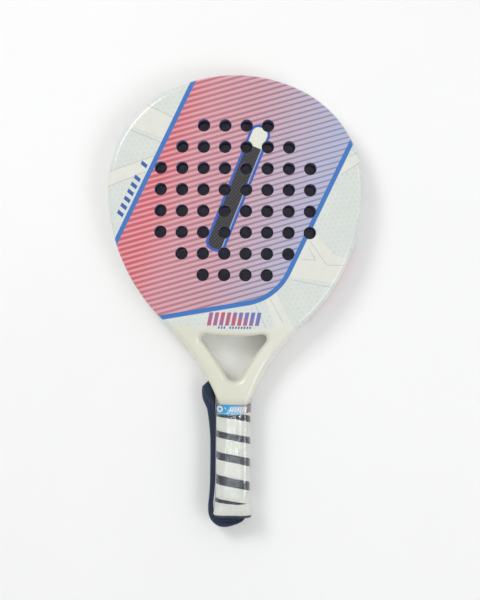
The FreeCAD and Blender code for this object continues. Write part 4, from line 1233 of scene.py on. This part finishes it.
def rubber_material():
    """Cushion grip: dark, smooth, with rows of small perforations."""
    graph = Graph("grip_rubber", Specular_IOR_Level=0.5)
    x, y, z = graph.position()
    grain = graph.noise(graph.vector(x, y, z), 1.3, 4)
    around = graph.math("ARCTAN2", x, z - MIDDLE_MM) * 16
    row = y + around * 0.19
    dot_x = graph.modulo(around, 3.2) - 1.6
    dot_y = graph.modulo(row, 3.2) - 1.6
    dot = graph.below(graph.length(dot_x, dot_y), 0.45, 0.3)
    tone = graph.ramp(grain, [(0.25, (26, 33, 48)), (0.75, (46, 56, 72))])
    # the perforations are painted darker than the rubber: painted shade down the small holes
    graph.colour(graph.mix(dot * 0.7, tone, (22, 22, 28)))
    graph.roughness(grain, 0.25, 0.32)
    graph.relief(grain * 0.4 + (1 - dot) * 0.6, 0.00025, 0.7)
    return graph.material


def wrap_material():
    """White polyurethane overgrip: fine tacky grain and faint creases greyed with painted shade."""
    graph = Graph("white_wrap", Sheen_Weight=0.1, Specular_IOR_Level=0.3)
    x, y, z = graph.position()
    place = graph.vector(x, y, z)
    grain = graph.noise(place, 1.9, 4, 0.6)
    cloud = graph.noise(place, 0.09, 3)
    crease = graph.noise(graph.vector(x * 0.5, y * 2.6, z * 0.5), 0.3, 3)
    base = graph.ramp(cloud, [(0.3, (220, 224, 214)), (0.7, (232, 234, 226))])
    # the creases are painted grey: painted shade in the folds
    graph.colour(graph.mix(graph.above(crease, 0.62, 0.12) * 0.35, base, (192, 197, 190)))
    graph.roughness(grain, 0.2, 0.55)
    graph.relief(grain * 0.25 + crease * 0.75, 0.00015, 0.5)
    return graph.material


def band_material():
    """Printed tape: blue, turning to brick red on the right, with generic white bars."""
    graph = Graph("band_print", Coat_Weight=0.3, Coat_Roughness=0.1)
    x, y, z = graph.position()
    front = graph.above(z, MIDDLE_MM, 0.001) * 2 - 1
    seen = x * front
    grain = graph.noise(graph.vector(x, y, z), 1.2, 3)
    ground = graph.ramp((seen + 18) / 36, [(0.0, (60, 120, 165)), (0.25, (14, 166, 222)),
                                           (0.55, (22, 172, 228)), (0.74, (150, 172, 190)),
                                           (0.86, (158, 116, 118)), (1.0, (120, 84, 104))])
    low = (BAND_LOW + 2.6 * MM) / MM
    bars, _, _ = slanted_bars(graph, seen, y, (-5.5, low), 0.0, 0.35, 2.6, 5.4, 7, (), 0.68)
    from_disc = graph.length(seen + 14, y - low - 3)
    disc = graph.below(from_disc, 3.2, 0.4) * graph.above(from_disc, 1.5, 0.4)
    print_on = graph.largest(bars, disc)
    line = graph.below(abs(y - (BAND_LOW + 1.2 * MM) / MM), 0.35, 0.2)
    colour = graph.mix(line * 0.7, ground, (190, 220, 235))
    graph.colour(graph.mix(print_on * 0.95, colour, (236, 238, 236)))
    graph.roughness(grain, 0.15, 0.25)
    graph.relief(grain, 0.00012, 0.5)
    return graph.material


def film_material():
    """Clear shrink film: seen by its reflections, stronger at grazing angles; milky crease lines that are
    partly painted glints, and more opaque flecks that are painted glints.
    """
    graph = Graph("clear_film", Metallic=1.0)
    x, y, z = graph.position()
    creases = graph.noise(graph.vector(x * 1.1, y * 0.4, z * 1.1), 0.4, 2, 0.5)
    glint_noise = graph.noise(graph.vector(x, y * 0.7, z), 0.9, 2)
    # milky crease lines: partly whitening of the creased film, partly painted glints
    sharp = graph.below(abs(creases - 0.5), 0.008, 0.02)
    # flecks made more opaque on the mirror-like film: painted glints
    painted_glint = graph.above(glint_noise, 0.70, 0.05)
    gloss = graph.node("Fresnel")
    gloss.inputs["IOR"].default_value = 1.55
    shine = Value(graph, gloss.outputs[0])
    graph.colour(graph.mix(sharp, (236, 240, 242), (252, 253, 255)))
    graph.roughness(creases, 0.06, 0.02)
    shine = graph.smallest(shine * 0.5, 0.12)
    graph.feed(graph.shader.inputs["Alpha"], shine + graph.largest(sharp * 0.20, painted_glint * 0.42))
    graph.relief(creases, 0.00006, 0.5)
    return graph.material


def cap_material():
    """Moulded butt cap: black with a fine spark-eroded grain."""
    graph = Graph("cap_plastic", Specular_IOR_Level=0.5)
    place = graph.place()
    grain = graph.noise(place, 3.2, 3, 0.6)
    wear = graph.noise(place, 0.3, 4)
    graph.colour(graph.ramp(wear, [(0.35, (30, 33, 46)), (0.75, (52, 56, 72))]))
    graph.roughness(grain, 0.25, 0.36)
    graph.relief(grain, 0.0002, 0.6)
    return graph.material


# the way round the webbing and the pitches of its ribs and yarns, in millimetres
WEB_AROUND = 33
RIB_PITCH = 1.3
YARN_PITCH = 0.9


def webbing_material(name, uv):
    """Navy webbing: crosswise ribs and lengthwise yarns."""
    graph = Graph(name, Sheen_Weight=0.25, Sheen_Roughness=0.4, Specular_IOR_Level=0.3)
    if uv:
        across, along, _ = graph.split("UV")
        across = across * WEB_AROUND
    else:
        across, along, _ = graph.position()
    fuzz = graph.noise(graph.place(), 1.8, 4, 0.7)
    rib = graph.math("SINE", along * (math.tau / RIB_PITCH) + fuzz * 0.8)
    side = graph.above(graph.math("SINE", along * (math.pi / RIB_PITCH)), 0, 0.2)
    yarn = graph.math("SINE", across * (math.tau / YARN_PITCH) + side * math.pi)
    cloth = rib * 0.5 + yarn * 0.3
    tone = graph.ramp(cloth * 0.4 + fuzz * 0.7, [(0.15, (33, 43, 64)), (0.5, (50, 64, 88)),
                                                 (0.9, (80, 97, 122))])
    graph.colour(tone)
    graph.roughness(fuzz, 0.2, 0.62)
    graph.relief(cloth * 0.5 + fuzz * 0.5, 0.0004, 0.8)
    return graph.material


def floor_material():
    graph = Graph("pale_floor", Roughness=0.7, Specular_IOR_Level=0.2)
    cloud = graph.noise(graph.place(), 0.004, 2)
    graph.colour(graph.ramp(cloud, [(0.3, (251, 251, 251)), (0.7, (253, 253, 253))]))
    return graph.material


# ---- the racket

paint = paint_material()
webbing = webbing_material("navy_webbing", uv=True)

shell = build_frame_shell(paint)
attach(shell, "racket")
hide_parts("frame_tube", "throat_bridge")

for sheet_name, sheet_sign, node in (("printed_front", 1, "front_face"), ("printed_back", -1, "back_face")):
    sheet = build_sheet(sheet_name, sheet_sign, paint)
    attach(sheet, "racket")
    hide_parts(node)

wrap = build_wrap(wrap_material())
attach(wrap, "racket")
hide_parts("wrap_strip")

band = build_sleeve("brand_band", band_material(), BAND_ROWS, BAND_STEPS, BAND_THICK, band_surface, 60)
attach(band, "racket")
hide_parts("grip_band")

film = build_sleeve("film_sleeve", film_material(), FILM_ROWS, FILM_STEPS, FILM_THICK, film_surface, 80)
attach(film, "racket")
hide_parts("shrink_film")

strap = build_strap(webbing)
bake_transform(strap)
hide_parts("strap_leg", "strap_loop")

carried_over = {"foam_core": foam_material(), "handle_core": raw_foam_material(),
                "base_grip": rubber_material(), "butt_cap": cap_material(),
                "strap_stop": webbing_material("stop_webbing", uv=False)}
for node, material in carried_over.items():
    mesh_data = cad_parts[node].data
    mesh_data.materials.clear()
    mesh_data.materials.append(material)


# ---- floor, lights and camera

FLOOR_FLAT = 2.2
FLOOR_BEND = 1.4
FLOOR_WALL = 3.0
FLOOR_SIDES = 96
FLOOR_STEPS = 12
FLOOR_DROP = 0.2 * MM
SKY = 0.55


def build_floor():
    """A round pale floor that bends up into a wall far from the racket, so that no horizon shows."""
    mesh = bmesh.new()
    profile = [(0.6, 0), (FLOOR_FLAT, 0)]
    for number in range(1, FLOOR_STEPS + 1):
        turn = math.pi / 2 * number / FLOOR_STEPS
        profile.append((FLOOR_FLAT + FLOOR_BEND * math.sin(turn), FLOOR_BEND * (1 - math.cos(turn))))
    profile.append((FLOOR_FLAT + FLOOR_BEND, FLOOR_WALL))
    turns = [math.tau * n / FLOOR_SIDES for n in range(FLOOR_SIDES)]
    rows = loft(mesh, [[(radius * math.cos(turn), radius * math.sin(turn), height) for turn in turns]
                       for radius, height in profile])
    mesh.faces.new(rows[0])
    floor = finish_mesh(mesh, "floor", floor_material())
    floor.location.z = -FLOOR_DROP


def add_light(name, place, target, size, power, colour=(1, 1, 1)):
    data = bpy.data.lights.new(name, "AREA")
    data.shape = "RECTANGLE"
    data.size, data.size_y = size
    data.energy = power
    data.color = colour
    light = bpy.data.objects.new(name, data)
    light.location = place
    light.rotation_euler = (Vector(target) - Vector(place)).to_track_quat("-Z", "Y").to_euler()
    bpy.context.scene.collection.objects.link(light)


def light_scene():
    """Soft light from all round, two tubes for the rim's highlights and two glints on the film."""
    world = bpy.data.worlds.new("studio")
    world.use_nodes = True
    sky = world.node_tree.nodes["Background"]
    sky.inputs["Color"].default_value = (1, 1, 1, 1)
    sky.inputs["Strength"].default_value = SKY
    bpy.context.scene.world = world
    target = (0, 0, 0)
    add_light("key", (-1.1, 1.1, 1.9), target, (0.9, 0.9), 18)
    add_light("fill", (1.2, -0.7, 1.9), target, (1.0, 1.0), 9.5, (0.96, 0.98, 1))
    add_light("tube_left", (-0.75, 0.9, 1.3), target, (0.04, 0.7), 0.6)
    add_light("tube_right", (0.85, 0.35, 1.2), target, (0.04, 0.7), 1.0)
    add_light("glint_right", (0.004, -0.33, 1.56), (0, -0.16, 0), (0.012, 0.25), 0.055)
    add_light("glint_left", (-0.024, -0.33, 1.56), (0, -0.16, 0), (0.008, 0.25), 0.035)


# what the picture's height shows at the front face, and the camera's height over it
VIEW_HEIGHT = 0.6094
CAMERA_HEIGHT = 1.5
CAMERA_SHIFT = (5.6 * MM, 1.0 * MM)
CAMERA_ROLL = math.radians(0.5)
SENSOR = 36


def build_camera():
    data = bpy.data.cameras.new("camera")
    data.sensor_width = SENSOR
    data.lens = SENSOR * CAMERA_HEIGHT / VIEW_HEIGHT
    camera = bpy.data.objects.new("camera", data)
    middle = (cad_low + cad_high) / 2
    camera.location = (middle.x + CAMERA_SHIFT[0], middle.y + CAMERA_SHIFT[1], THICK + CAMERA_HEIGHT)
    camera.rotation_euler = (0, 0, CAMERA_ROLL)
    bpy.context.scene.collection.objects.link(camera)
    bpy.context.scene.camera = camera


build_floor()
light_scene()
build_camera()
bpy.context.scene.view_settings.view_transform = "Standard"
